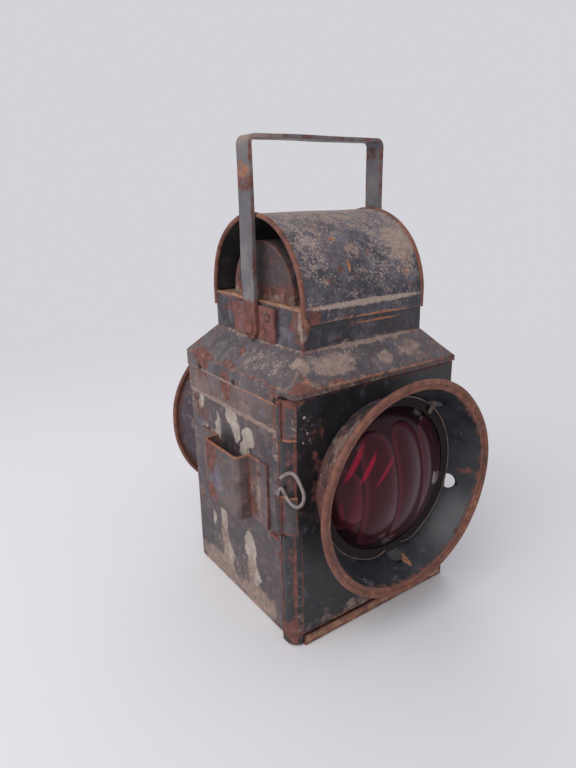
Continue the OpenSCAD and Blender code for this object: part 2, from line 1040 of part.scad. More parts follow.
module hasp_pin() {
  color("#9a948c")
    translate([pin_x, pin_y, 0]) {
      translate([0, 0, pin_foot])
        cylinder(r = wire_r, h = ring_z - pin_foot, $fn = 64);
      translate([ring_r * cos(ring_turn), ring_r * sin(ring_turn), ring_z])
        rotate([90, 0, ring_turn])
          rotate_extrude()
            translate([ring_r, 0])
              circle(r = wire_r, $fn = 48);
    }
}

module door_keeper() {
  jaw = wire_r + keeper_play;
  leaf = 7;
  color("#5a4038")
    difference() {
      union() {
        slab([-wall_x - hasp_t, panel_y, keeper_z - 5], [-wall_x, panel_y + leaf, keeper_z + keeper_t + 5]);
        slab([pin_x - jaw - 1.8, panel_y, keeper_z], [-wall_x, panel_y + leaf / 2, keeper_z + keeper_t]);
        slab([pin_x - jaw - 1.8, pin_y - 4, keeper_z], [stile_x - fit, panel_y, keeper_z + keeper_t]);
      }
      slab([pin_x - jaw, pin_y - 5, keeper_z - cut], [pin_x + jaw, pin_y + jaw, keeper_z + keeper_t + cut]);
    }
}

// Door hinges on the right side

module hinge_places() {
  for (s = [-1, 1])
    translate([0, 0, (door_sill_z + door_top) / 2 + s * hinge_pitch / 2 - hinge_h / 2])
      children();
}

module knuckle(z, y0, y1) {
  slab([wall_x, min(y0, y1), z], [wall_x + sheet_t, max(y0, y1), z + knuckle_h]);
  translate([hinge_x, hinge_y, z])
    cylinder(r = knuckle_r, h = knuckle_h, $fn = 64);
}

module hinge_case_rivets() {
  color("#5c463c")
    mirror([1, 0, 0])
      hinge_rivet_places(case_rivet_across)
        side_rivet(wall_x + sheet_t, 3 * sheet_t);
}

module hinge_door_rivets() {
  color("#5c463c")
    mirror([1, 0, 0])
      hinge_rivet_places(door_rivet_across)
        side_rivet(wall_x + sheet_t, 2 * sheet_t);
}

module pin_bore() {
  translate([hinge_x, hinge_y, -cut])
    cylinder(r = hinge_pin_r + seat, h = hinge_h + 2 * cut, $fn = 64);
}

module leaf_rivet_holes(across) {
  for (z = [hinge_h * 0.25, hinge_h * 0.75])
    rod_x(wall_x - cut, hinge_y + across, z, rivet_r + seat, sheet_t + 2 * cut);
}

module hinge_case_leaves() {
  color("#4b3c38")
    hinge_places()
      difference() {
        union() {
          slab([wall_x, hinge_y + knuckle_room, 0], [wall_x + sheet_t, hinge_y + hinge_leaf, hinge_h]);
          for (z = [0, hinge_h - knuckle_h])
            knuckle(z, hinge_y, hinge_y + knuckle_room + cut);
        }
        pin_bore();
        leaf_rivet_holes(case_rivet_across);
      }
}

module hinge_door_leaves() {
  color("#3f3634")
    hinge_places()
      difference() {
        union() {
          slab([wall_x, face_y + sheet_t, 0], [wall_x + sheet_t, hinge_y - knuckle_room, hinge_h]);
          knuckle(knuckle_h + fit, hinge_y - knuckle_room - cut, hinge_y);
        }
        pin_bore();
        leaf_rivet_holes(door_rivet_across);
      }
}

module hinge_pins() {
  head_r = knuckle_r - 0.5;
  head_h = 1.4;
  color("#7a6258")
    hinge_places()
      translate([hinge_x, hinge_y, 0]) {
        cylinder(r = hinge_pin_r, h = hinge_h, $fn = 64);
        translate([0, 0, hinge_h])
          head(head_r, head_h);
      }
}

// Oil fount and burner

module oil_fount() {
  color("#8d8676")
    difference() {
      translate([0, 0, fount_z])
        cylinder(r = fount_r, h = fount_h);
      translate([0, 0, fount_z + tin_t])
        cylinder(r = fount_r - tin_t, h = fount_h - 2 * tin_t);
      translate([0, 0, fount_top - 2 * tin_t])
        cylinder(r = collar_in, h = 4 * tin_t);
      translate([0, cap_y, fount_top - 2 * tin_t])
        cylinder(r = filler_r - filler_wall, h = 4 * tin_t);
    }
}

module fount_locator() {
  locator_h = 7;
  color("#574840")
    difference() {
      translate([0, 0, sheet_t])
        cylinder(r = fount_r + fit + sheet_t, h = locator_h);
      cylinder(r = fount_r + fit, h = locator_h + sheet_t + cut);
    }
}

module burner_collar() {
  color("#a8823c")
    difference() {
      translate([0, 0, fount_top])
        cylinder(r = collar_out, h = collar_h);
      translate([0, 0, fount_top - cut])
        cylinder(r = collar_in, h = collar_h + 2 * cut);
    }
}

module burner_body() {
  vents = 12;
  vent_r = 1.2;
  vent_z = burner_z + 3.5;
  color("#b08a42")
    difference() {
      translate([0, 0, burner_z])
        cylinder(r = burner_r, h = burner_h);
      translate([0, 0, burner_z + tin_t])
        cylinder(r = burner_r - tin_t, h = burner_h);
      slab([-tube_w / 2 - seat, -tube_d / 2 - seat, burner_z - cut],
           [tube_w / 2 + seat, tube_d / 2 + seat, burner_z + tin_t + cut]);
      rod_x(0, spindle_y, spindle_z, spindle_r + seat, burner_r + cut);
      for (k = [0 : vents - 1])
        rotate([0, 0, (k + 0.5) * 360 / vents])
          rod_x(burner_r - 2 * tin_t, 0, vent_z, vent_r, 4 * tin_t);
    }
}

module burner_dome() {
  slot_w = wick_w + 4;
  slot_d = wick_t + 3;
  color("#b8934a")
    translate([0, 0, dome_z])
      difference() {
        intersection() {
          sphere(r = burner_r);
          cylinder(r = burner_r + cut, h = burner_r);
        }
        sphere(r = burner_r - tin_t);
        slab([-slot_w / 2, -slot_d / 2, 0], [slot_w / 2, slot_d / 2, burner_r + cut]);
      }
}

module wick_tube() {
  window = wheel_r + fit;
  color("#a98545")
    difference() {
      slab([-tube_w / 2, -tube_d / 2, tube_foot], [tube_w / 2, tube_d / 2, tube_top]);
      slab([-wick_w / 2 - tube_play, -wick_t / 2 - tube_play, tube_foot - cut],
           [wick_w / 2 + tube_play, wick_t / 2 + tube_play, tube_top + cut]);
      for (s = [-1, 1])
        slab([s * wheel_x - wheel_w / 2 - fit, -tube_d / 2 - cut, spindle_z - window],
             [s * wheel_x + wheel_w / 2 + fit, 0, spindle_z + window]);
    }
}

module wick() {
  clear_of_floor = 4;
  color("#cbbf9f")
    slab([-wick_w / 2, -wick_t / 2, fount_z + clear_of_floor], [wick_w / 2, wick_t / 2, tube_top + 1]);
}

module wick_spindle() {
  spindle_back = wheel_x + wheel_w;
  color("#9d8a5a") {
    rod_x(-spindle_back, spindle_y, spindle_z, spindle_r, spindle_x + spindle_back);
    for (s = [-1, 1])
      rod_x(s * wheel_x - wheel_w / 2, spindle_y, spindle_z, wheel_r - seat, wheel_w);
  }
}

module wick_knob() {
  flutes = 10;
  flute_r = 1.4;
  knob_t = 4;
  color("#b08a42")
    difference() {
      rod_x(spindle_x - knob_t, spindle_y, spindle_z, knob_r, knob_t);
      rod_x(spindle_x - knob_t - cut, spindle_y, spindle_z, spindle_r, knob_t + cut);
      for (k = [0 : flutes - 1])
        translate([0, spindle_y, spindle_z])
          rotate([k * 360 / flutes, 0, 0])
            rod_x(spindle_x - knob_t - cut, 0, knob_r + flute_r / 4, flute_r, knob_t + 2 * cut);
    }
}

module filler_neck() {
  color("#a8823c")
    translate([0, cap_y, fount_top])
      difference() {
        cylinder(r = filler_r, h = filler_h);
        translate([0, 0, -cut])
          cylinder(r = filler_r - filler_wall, h = filler_h + 2 * cut);
      }
}

module filler_cap() {
  wall = cap_r - filler_r - seat;
  color("#b08a42")
    translate([0, cap_y, fount_top + fit])
      difference() {
        cylinder(r = cap_r, h = filler_h + wall);
        translate([0, 0, -cut])
          cylinder(r = cap_r - wall, h = filler_h + cut);
      }
}

base_pan();
left_side_panel();
right_side_panel();
rear_panel();
door_frame();
roof_skirt_band();
roof();
neck();
smoke_deck();
flue_ring();
cowl_barrel();
cowl_end_beads();
smoke_baffle();
handle_brackets();
bracket_rivets();
handle_pivot_rivets();
handle();
lamp_iron_socket();
socket_rivets();
roof_rivets();
wall_rivets();
rear_hood();
rear_hood_rim();
rear_lens_seat();
rear_lens();
rear_lens_gasket();
rear_lens_spring();
hinge_case_leaves();
hinge_pins();
hinge_case_rivets();
hinge_door_rivets();
door_keeper();
door_panel();
hinge_door_leaves();
front_hood();
front_hood_rim();
front_lens_seat();
front_lens();
front_lens_gasket();
front_lens_spring();
front_lens_clip();
upper_corner_strap();
hasp();
hasp_pin();
oil_fount();
fount_locator();
burner_collar();
burner_body();
burner_dome();
wick_tube();
wick();
wick_spindle();
wick_knob();
filler_neck();
filler_cap();
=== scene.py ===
"""A railway shunter's hand lamp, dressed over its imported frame.

Sheet pieces are worked up from their CAD solids. Hoods, lenses, wires and rivets are built here from
the same sizes. Lengths are given in millimetres and built in metres, in the frame of the CAD model.
"""

from __future__ import annotations

import json
import logging
import math
from collections.abc import Callable, Iterable, Mapping, Sequence
from dataclasses import asdict, dataclass, field
from enum import Enum
from functools import cache

import bmesh
import bpy
from mathutils import Matrix, Vector, noise
from mathutils.kdtree import KDTree


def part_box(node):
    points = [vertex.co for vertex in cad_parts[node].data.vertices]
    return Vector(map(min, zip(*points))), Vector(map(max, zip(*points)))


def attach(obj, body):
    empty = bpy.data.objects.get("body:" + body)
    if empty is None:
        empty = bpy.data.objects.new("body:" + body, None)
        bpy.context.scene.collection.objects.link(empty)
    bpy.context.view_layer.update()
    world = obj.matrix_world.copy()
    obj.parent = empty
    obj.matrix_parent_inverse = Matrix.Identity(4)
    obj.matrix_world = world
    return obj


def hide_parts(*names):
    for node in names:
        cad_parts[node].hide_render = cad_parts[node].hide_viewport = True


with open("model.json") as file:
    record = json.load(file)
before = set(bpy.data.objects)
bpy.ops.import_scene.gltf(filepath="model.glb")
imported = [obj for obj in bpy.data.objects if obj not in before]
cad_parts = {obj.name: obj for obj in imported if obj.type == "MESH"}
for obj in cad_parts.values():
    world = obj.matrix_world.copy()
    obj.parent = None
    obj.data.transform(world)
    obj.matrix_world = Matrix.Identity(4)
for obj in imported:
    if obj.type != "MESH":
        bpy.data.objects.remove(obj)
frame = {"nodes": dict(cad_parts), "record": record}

log = logging.getLogger("shunter_lamp")

MM = 0.001
# Fixes the shared field of dents, which would differ from run to run without it
DENT_SEED = 4
# How deep the thin upper sheet and the hoods are dented, where 1 is about half a millimetre
THIN_DENT = 1.3
HOOD_DENT = 1.6
# The dents grow from nothing at the base to their full depth at this height, in metres
CALM = 0.03
# The field of dents: the scale and the depth, in metres, of its broad and of its small part
DENTS = ((0.06, 0.0005), (0.021, 0.00016))
# A pitch longer than the lamp, which leaves a small piece's faces uncut
UNCUT = 500.0
# How far a band reaches along its plane, in millimetres
FAR = 1.0e4
# Vertices of a CAD solid that are closer than this, in metres, are one
SAME = 2e-6
# Edges of a sheet that turn by more than this, in degrees, are broken
SHARP = 32
# Straight edges longer than this, in millimetres, are cut along on both sides
LONG_EDGE = 24
# A cut closer than this to another, in millimetres, is left out
CLOSE = 0.6
# A layer shows where its total passes this
COVERED = 0.75
# Marks that reach less far than this one way, in millimetres, keep neat outlines
NEAT = 3

Point = tuple[float, float, float]
Tree = bpy.types.NodeTree
Node = bpy.types.Node
# What a link starts from: a socket, or a node for its first output
Source = Node | bpy.types.NodeSocket
Object = bpy.types.Object
Material = bpy.types.Material

BODY_OF = {node: body for body, nodes in frame["record"]["behaviour"]["bodies"].items() for node in nodes}


# Helpers


def srgb(code: str) -> tuple[float, float, float, float]:
    """Turns a written colour into Blender's linear one.

    Args:
        code: The colour as #rrggbb.

    Returns:
        Linear red, green, blue and an alpha of 1.
    """
    parts = [int(code[i : i + 2], 16) / 255 for i in (1, 3, 5)]
    line = [c / 12.92 if c <= 0.04045 else ((c + 0.055) / 1.055) ** 2.4 for c in parts]
    return (line[0], line[1], line[2], 1.0)


def add_node(
    tree: Tree, kind: str, inputs: Mapping[int | str, object] | None = None,
    stops: Sequence[tuple[float, str]] = (), **settings: object,
) -> Node:
    """Adds one node with its settings, values and links.

    Args:
        tree: The node tree that gets it.
        kind: The node's type name.
        inputs: For each input's name or number, a plain value, a socket or a node's first output.
        stops: A colour ramp's places and colours: its two ends, then what is between them.
        **settings: The node's own properties.

    Returns:
        The new node.
    """
    node = tree.nodes.new(kind)
    for key, value in settings.items():
        setattr(node, key, value)
    for number, (place, colour) in enumerate(stops):
        ramp = node.color_ramp.elements
        stop = ramp[number] if number < 2 else ramp.new(place)
        stop.position, stop.color = place, srgb(colour)
    for key, value in (inputs or {}).items():
        if isinstance(value, Node):
            value = value.outputs[0]
        if isinstance(value, bpy.types.NodeSocket):
            tree.links.new(value, node.inputs[key])
        else:
            node.inputs[key].default_value = value
    return node


def empty_tree(owner: Material | bpy.types.World) -> Tree:
    """Empties the node tree of a material or the world.

    Args:
        owner: What the tree belongs to.

    Returns:
        The empty tree.
    """
    owner.use_nodes = True
    owner.node_tree.nodes.clear()
    return owner.node_tree


def put(name: str, data: bpy.types.ID) -> Object:
    """Adds a mesh, a light or a camera to the scene as an object at the origin.

    Args:
        name: The object's name.
        data: Its data, a mesh placed in the shared frame.

    Returns:
        The object.
    """
    piece = bpy.data.objects.new(name, data)
    bpy.context.scene.collection.objects.link(piece)
    return piece


def settle(piece: Object, node: str) -> Object:
    """Makes a finished piece stand for its CAD node and ride on that node's body.

    Args:
        piece: The finished piece.
        node: The CAD node it stands for.

    Returns:
        The piece.
    """
    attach(piece, BODY_OF[node])
    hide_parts(node)
    log.info("%s: %d faces", piece.name, len(piece.data.polygons))
    return piece


def freeze(piece: Object) -> Object:
    """Turns an object's modifiers into its plain mesh.

    Args:
        piece: The object with its modifiers.

    Returns:
        The same object without modifiers.
    """
    bpy.context.view_layer.update()
    graph = bpy.context.evaluated_depsgraph_get()
    mesh = bpy.data.meshes.new_from_object(piece.evaluated_get(graph))
    piece.modifiers.clear()
    piece.data = mesh
    return piece


def dented(point: Vector, amount: float) -> Vector:
    """Moves a point by the lamp's shared field of dents, which is calm at the base.

    Args:
        point: The point, in metres.
        amount: How deep the dents are, 1 for about half a millimetre.

    Returns:
        The moved point.
    """
    calm = min(1.0, max(0.0, point.z / CALM)) * amount
    broad, small = (noise.noise_vector(point / scale) * depth for scale, depth in DENTS)
    return point + (broad + small) * calm


def shift(point: Point, amount: float) -> Point:
    """Dents a point that is given in millimetres.

    Args:
        point: The point.
        amount: How deep the dents are.

    Returns:
        The dented point, in millimetres.
    """
    return tuple(dented(Vector(point) * MM, amount) / MM)


def from_bmesh(name: str, shape: bmesh.types.BMesh, crease: float = 26.0) -> bpy.types.Mesh:
    """Writes a bmesh to a new mesh, shaded smooth but for its creases.

    Args:
        name: The mesh's name.
        shape: The bmesh, which is freed.
        crease: The angle in degrees past which an edge stays sharp.

    Returns:
        The mesh.
    """
    mesh = bpy.data.meshes.new(name)
    shape.to_mesh(mesh)
    shape.free()
    for face in mesh.polygons:
        face.use_smooth = True
    mesh.set_sharp_from_angle(angle=math.radians(crease))
    return mesh


# Geometry trees


def open_tree(name: str, sizes: Mapping[str, str]) -> tuple[Tree, dict[str, Source]]:
    """Starts a geometry tree with a Geometry input, named inputs and an output.

    Args:
        name: The tree's name.
        sizes: For each named input, its socket type without the NodeSocket prefix.

    Returns:
        The tree and its input sockets by name.
    """
    tree = bpy.data.node_groups.new(name, "GeometryNodeTree")
    rows = {"Geometry": "Geometry", **sizes}
    for label, kind in rows.items():
        tree.interface.new_socket(name=label, in_out="INPUT", socket_type="NodeSocket" + kind)
    tree.interface.new_socket(name="Geometry", in_out="OUTPUT", socket_type="NodeSocketGeometry")
    source = add_node(tree, "NodeGroupInput")
    return tree, {label: source.outputs[label] for label in rows}


def close_tree(tree: Tree, shape: Source, material: Source) -> Tree:
    """Ends a geometry tree with real geometry that has its material.

    Args:
        tree: The tree.
        shape: The geometry so far.
        material: The material input.

    Returns:
        The tree.
    """
    real = add_node(tree, "GeometryNodeRealizeInstances", {0: shape})
    done = add_node(tree, "GeometryNodeSetMaterial", {"Geometry": real, "Material": material})
    add_node(tree, "NodeGroupOutput", {0: done})
    return tree


def grow(name: str, mesh: bpy.types.Mesh, tree: Tree, **sizes: object) -> Object:
    """Runs a geometry tree once on a mesh and keeps the result as a plain mesh.

    Args:
        name: The new object's name.
        mesh: The points, path or surface that the tree works on.
        tree: The geometry tree.
        **sizes: Values for the tree's inputs, with _ for each space.

    Returns:
        The object, without its modifier.
    """
    piece = put(name, mesh)
    modifier = piece.modifiers.new("grow", "NODES")
    modifier.node_group = tree
    for item in tree.interface.items_tree:
        key = item.name.lower().replace(" ", "_")
        if item.in_out == "INPUT" and key in sizes:
            modifier[item.identifier] = sizes[key]
    return freeze(piece)


@cache
def rivet_tree() -> Tree:
    """Builds the tree that sets a domed rivet at each point, along the point's out vector.

    Returns:
        The tree.
    """
    tree, size = open_tree(
        "rivets",
        {
            "Head Radius": "Float", "Head Height": "Float", "Shank Radius": "Float", "Grip": "Float",
            "Wobble": "Float", "Seed": "Int", "Material": "Material",
        },
    )
    ball = add_node(tree, "GeometryNodeMeshUVSphere", {"Segments": 22, "Rings": 12, "Radius": 1.0})
    flat = add_node(
        tree, "ShaderNodeCombineXYZ",
        {0: size["Head Radius"], 1: size["Head Radius"], 2: size["Head Height"]},
    )
    head = add_node(tree, "GeometryNodeTransform", {"Geometry": ball, "Scale": flat})
    shank = add_node(
        tree, "GeometryNodeMeshCylinder",
        {"Vertices": 14, "Radius": size["Shank Radius"], "Depth": size["Grip"]},
    )
    half = add_node(tree, "ShaderNodeMath", {0: size["Grip"], 1: -0.5}, operation="MULTIPLY")
    middle = add_node(tree, "ShaderNodeCombineXYZ", {2: half})
    shank_in = add_node(tree, "GeometryNodeTransform", {"Geometry": shank, "Translation": middle})
    tail = add_node(
        tree, "GeometryNodeMeshCylinder",
        {"Vertices": 20, "Radius": size["Head Radius"], "Depth": size["Head Height"]},
    )
    rest = add_node(
        tree, "ShaderNodeMath", {0: size["Head Height"], 1: -0.5, 2: 0.0}, operation="MULTIPLY_ADD",
    )
    deep = add_node(tree, "ShaderNodeMath", {0: rest, 1: size["Grip"]}, operation="SUBTRACT")
    end = add_node(tree, "ShaderNodeCombineXYZ", {2: deep})
    tail_in = add_node(tree, "GeometryNodeTransform", {"Geometry": tail, "Translation": end})
    whole = add_node(tree, "GeometryNodeJoinGeometry")
    for part in (head, shank_in, tail_in):
        tree.links.new(part.outputs[0], whole.inputs[0])
    out = add_node(tree, "GeometryNodeInputNamedAttribute", {"Name": "out"}, data_type="FLOAT_VECTOR")
    aim = add_node(tree, "FunctionNodeAlignRotationToVector", {"Vector": out}, axis="Z")
    low = add_node(tree, "ShaderNodeMath", {0: size["Wobble"], 1: -1.0}, operation="MULTIPLY")
    down = add_node(tree, "ShaderNodeCombineXYZ", {0: low, 1: low, 2: -3.0})
    up = add_node(tree, "ShaderNodeCombineXYZ", {0: size["Wobble"], 1: size["Wobble"], 2: 3.0})
    tilt = add_node(
        tree, "FunctionNodeRandomValue", {0: down, 1: up, "Seed": size["Seed"]}, data_type="FLOAT_VECTOR",
    )
    turn = add_node(tree, "FunctionNodeEulerToRotation", {0: tilt})
    set_to = add_node(tree, "FunctionNodeRotateRotation", {0: aim, 1: turn}, rotation_space="LOCAL")
    placed = add_node(
        tree, "GeometryNodeInstanceOnPoints",
        {"Points": size["Geometry"], "Instance": whole, "Rotation": set_to},
    )
    smooth = add_node(tree, "GeometryNodeSetShadeSmooth", {0: placed})
    return close_tree(tree, smooth, size["Material"])


@cache
def wire_tree() -> Tree:
    """Builds the tree that runs a round wire or a rolled bead along a path of edges.

    Returns:
        The tree.
    """
    tree, size = open_tree("wire", {"Radius": "Float", "Sides": "Int", "Material": "Material"})
    path = add_node(tree, "GeometryNodeMeshToCurve", {0: size["Geometry"]})
    ring = add_node(
        tree, "GeometryNodeCurvePrimitiveCircle", {"Resolution": size["Sides"], "Radius": size["Radius"]},
    )
    tube = add_node(
        tree, "GeometryNodeCurveToMesh", {"Curve": path, "Profile Curve": ring, "Fill Caps": True},
    )
    smooth = add_node(tree, "GeometryNodeSetShadeSmooth", {0: tube})
    return close_tree(tree, smooth, size["Material"])


def flute_share(
    tree: Tree, place: Source, pitch: Source | float, reach: Source | float, middle: Source | float,
    height: Source | float,
) -> Source:
    """Adds the sums that tell how far a place is from the spine of its flute.

    A flute stands at each whole pitch from the middle. It is upright, and its round ends touch a circle.

    Args:
        tree: A geometry or material tree.
        place: The place, in metres.
        pitch: How far apart the flutes stand.
        reach: The circle's radius.
        middle: Where the middle flute stands.
        height: The height of the circle's middle.

    Returns:
        The share, squared: 0 on the spine and 1 at the border.
    """
    apart = add_node(tree, "ShaderNodeSeparateXYZ", {0: place})
    known: dict[str, Source | float] = {
        "x": apart, "z": apart.outputs[2], "pitch": pitch, "reach": reach, "middle": middle,
        "height": height,
    }
    sums = (
        ("across", "SUBTRACT", "x", "middle"), ("count", "DIVIDE", "across", "pitch"),
        ("whole", "ROUND", "count"), ("cell", "MULTIPLY", "whole", "pitch"),
        ("aside", "SUBTRACT", "across", "cell"), ("centre", "ADD", "cell", "middle"),
        ("half", "MULTIPLY", "pitch", 0.5), ("off", "ABSOLUTE", "centre"),
        ("inner", "MULTIPLY_ADD", "half", -0.6, "off"), ("wide", "MULTIPLY", "inner", "inner"),
        ("round", "MULTIPLY", "reach", "reach"), ("room", "SUBTRACT", "round", "wide"),
        ("kept", "MAXIMUM", "room", 0.0), ("chord", "SQRT", "kept"),
        ("core", "SUBTRACT", "chord", "half"), ("rise", "SUBTRACT", "z", "height"),
        ("up", "ABSOLUTE", "rise"), ("over", "SUBTRACT", "up", "core"),
        ("beyond", "MAXIMUM", "over", 0.0), ("far", "MULTIPLY", "beyond", "beyond"),
        ("near", "MULTIPLY_ADD", "aside", "aside", "far"), ("whole_half", "MULTIPLY", "half", "half"),
        ("share", "DIVIDE", "near", "whole_half"),
    )
    for name, operation, *terms in sums:
        inputs = {i: known.get(term, term) for i, term in enumerate(terms)}
        known[name] = add_node(tree, "ShaderNodeMath", inputs, operation=operation)
    return known["share"]


@cache
def flute_tree() -> Tree:
    """Builds the tree that raises upright round-ended flutes on the inner face of a lens.

    Only the points whose inner attribute is 1 move, by up to Depth along Inward.

    Returns:
        The tree.
    """
    tree, size = open_tree(
        "flutes",
        {
            "Pitch": "Float", "Depth": "Float", "Reach": "Float", "Middle": "Float", "Height": "Float",
            "Inward": "Vector", "Material": "Material",
        },
    )
    place = add_node(tree, "GeometryNodeInputPosition")
    share = flute_share(tree, place, size["Pitch"], size["Reach"], size["Middle"], size["Height"])
    left = add_node(tree, "ShaderNodeMath", {0: 1.0, 1: share}, operation="SUBTRACT", use_clamp=True)
    crown = add_node(tree, "ShaderNodeMath", {0: left, 1: 0.7}, operation="POWER")
    inner = add_node(tree, "GeometryNodeInputNamedAttribute", {"Name": "inner"}, data_type="FLOAT")
    lift = add_node(tree, "ShaderNodeMath", {0: crown, 1: size["Depth"]}, operation="MULTIPLY")
    only = add_node(tree, "ShaderNodeMath", {0: lift, 1: inner}, operation="MULTIPLY")
    offset = add_node(tree, "ShaderNodeVectorMath", {0: size["Inward"], "Scale": only}, operation="SCALE")
    moved = add_node(tree, "GeometryNodeSetPosition", {"Geometry": size["Geometry"], "Offset": offset})
    smooth = add_node(tree, "GeometryNodeSetShadeSmooth", {0: moved})
    return close_tree(tree, smooth, size["Material"])


# Finishes


class Layer(Enum):
    """What can lie on, or show through, the paint. The order is from the lowest up."""

    STEEL = "rubbed grey steel"
    PALE = "old pale undercoat"
    RUST = "brown rust"
    BRIGHT = "fresh orange rust"
    DUST = "beige dust"
    SPECK = "lime specks"
    SOOT = "lamp soot"


@dataclass(frozen=True)
class Deposit:
    """How one layer looks.

    Attributes:
        tones: Its lighter and darker colour.
        roughness: Its surface roughness.
        lift: Its height against the paint's, from 0 to 1.
        grain: The size in millimetres of its blotches.
        edge: How soft its border is.
        gather: How much more of it lies in some places than in others.
    """

    tones: tuple[str, str]
    roughness: float
    lift: float
    grain: float
    edge: float = 0.05
    gather: float = 0.3


DEPOSITS: dict[Layer, Deposit] = {
    Layer.STEEL: Deposit(("#76707a", "#55505a"), 0.6, 0.3, 12.0, 0.16),
    Layer.PALE: Deposit(("#beb3a8", "#92877c"), 0.85, 0.65, 9.0, 0.05),
    Layer.RUST: Deposit(("#85524a", "#4e332e"), 0.9, 0.7, 8.0, 0.13),
    Layer.BRIGHT: Deposit(("#ac7860", "#86543f"), 0.9, 0.7, 6.0, 0.1),
    Layer.DUST: Deposit(("#a58f84", "#7a675f"), 0.95, 0.55, 7.0, 0.15),
    Layer.SPECK: Deposit(("#b9a69c", "#8a776d"), 0.92, 0.62, 1.8, 0.11, 0.45),
    Layer.SOOT: Deposit(("#2b201c", "#120e0d"), 0.9, 0.5, 16.0, 0.2),
}


@dataclass(frozen=True)
class Mark:
    """One place where a layer gathers.

    Attributes:
        layer: What lies there.
        at: Its middle, in millimetres.
        reach: How far it reaches each way, in millimetres.
        strength: How surely it covers its middle: 0.5 covers it all, below 0 keeps it away.
        lean: How far its upright axis leans towards +X, in degrees.
    """

    layer: Layer
    at: Point
    reach: Point
    strength: float = 0.5
    lean: float = 0.0

    def near(self, tree: Tree, place: Source) -> Source:
        """Adds the nodes that tell how near a place is.

        Args:
            tree: The material's node tree.
            place: The place on the lamp, in millimetres.

        Returns:
            The mark's strength there, 0 beyond its reach.
        """
        inside = add_node(
            tree, "ShaderNodeMapping",
            {
                "Vector": place, "Location": self.at, "Rotation": (0.0, math.radians(self.lean), 0.0),
                "Scale": self.reach,
            },
            vector_type="TEXTURE",
        )
        away = add_node(tree, "ShaderNodeVectorMath", {0: inside}, operation="LENGTH")
        fade = {"Value": away.outputs["Value"], "From Min": 0.5, "From Max": 1.15}
        return add_node(
            tree, "ShaderNodeMapRange", {**fade, "To Min": self.strength, "To Max": 0.0},
            interpolation_type="SMOOTHSTEP",
        )


def spots(layer: Layer, *rows: Sequence[float]) -> tuple[Mark, ...]:
    """Gives the marks of one layer.

    Args:
        layer: What lies there.
        *rows: For each mark its middle, its reach, its strength and, where it leans, its lean.

    Returns:
        The marks.
    """
    return tuple(Mark(layer, row[:3], row[3:6], *row[6:]) for row in rows)


def band(layer: Layer, axis: str, at: float, reach: float, strength: float = 0.4) -> Mark:
    """Gives a mark that runs all along a plane.

    Args:
        layer: What lies there.
        axis: The plane's normal, x, y or z.
        at: Where the plane is, in millimetres.
        reach: How far the mark reaches from it.
        strength: How surely it covers the plane.

    Returns:
        The mark.
    """
    where = tuple(at if name == axis else 0.0 for name in "xyz")
    size = tuple(reach if name == axis else FAR for name in "xyz")
    return Mark(layer, where, size, strength)


@dataclass
class Skin:
    """What shows at the surface so far, as sockets or plain values.

    Attributes:
        colour: Its colour.
        roughness: Its roughness.
        height: Its height for the bump, from 0 to 1.
        metallic: How metallic it is.
    """

    colour: Source
    roughness: Source
    height: Source
    metallic: Source | float = 0.0


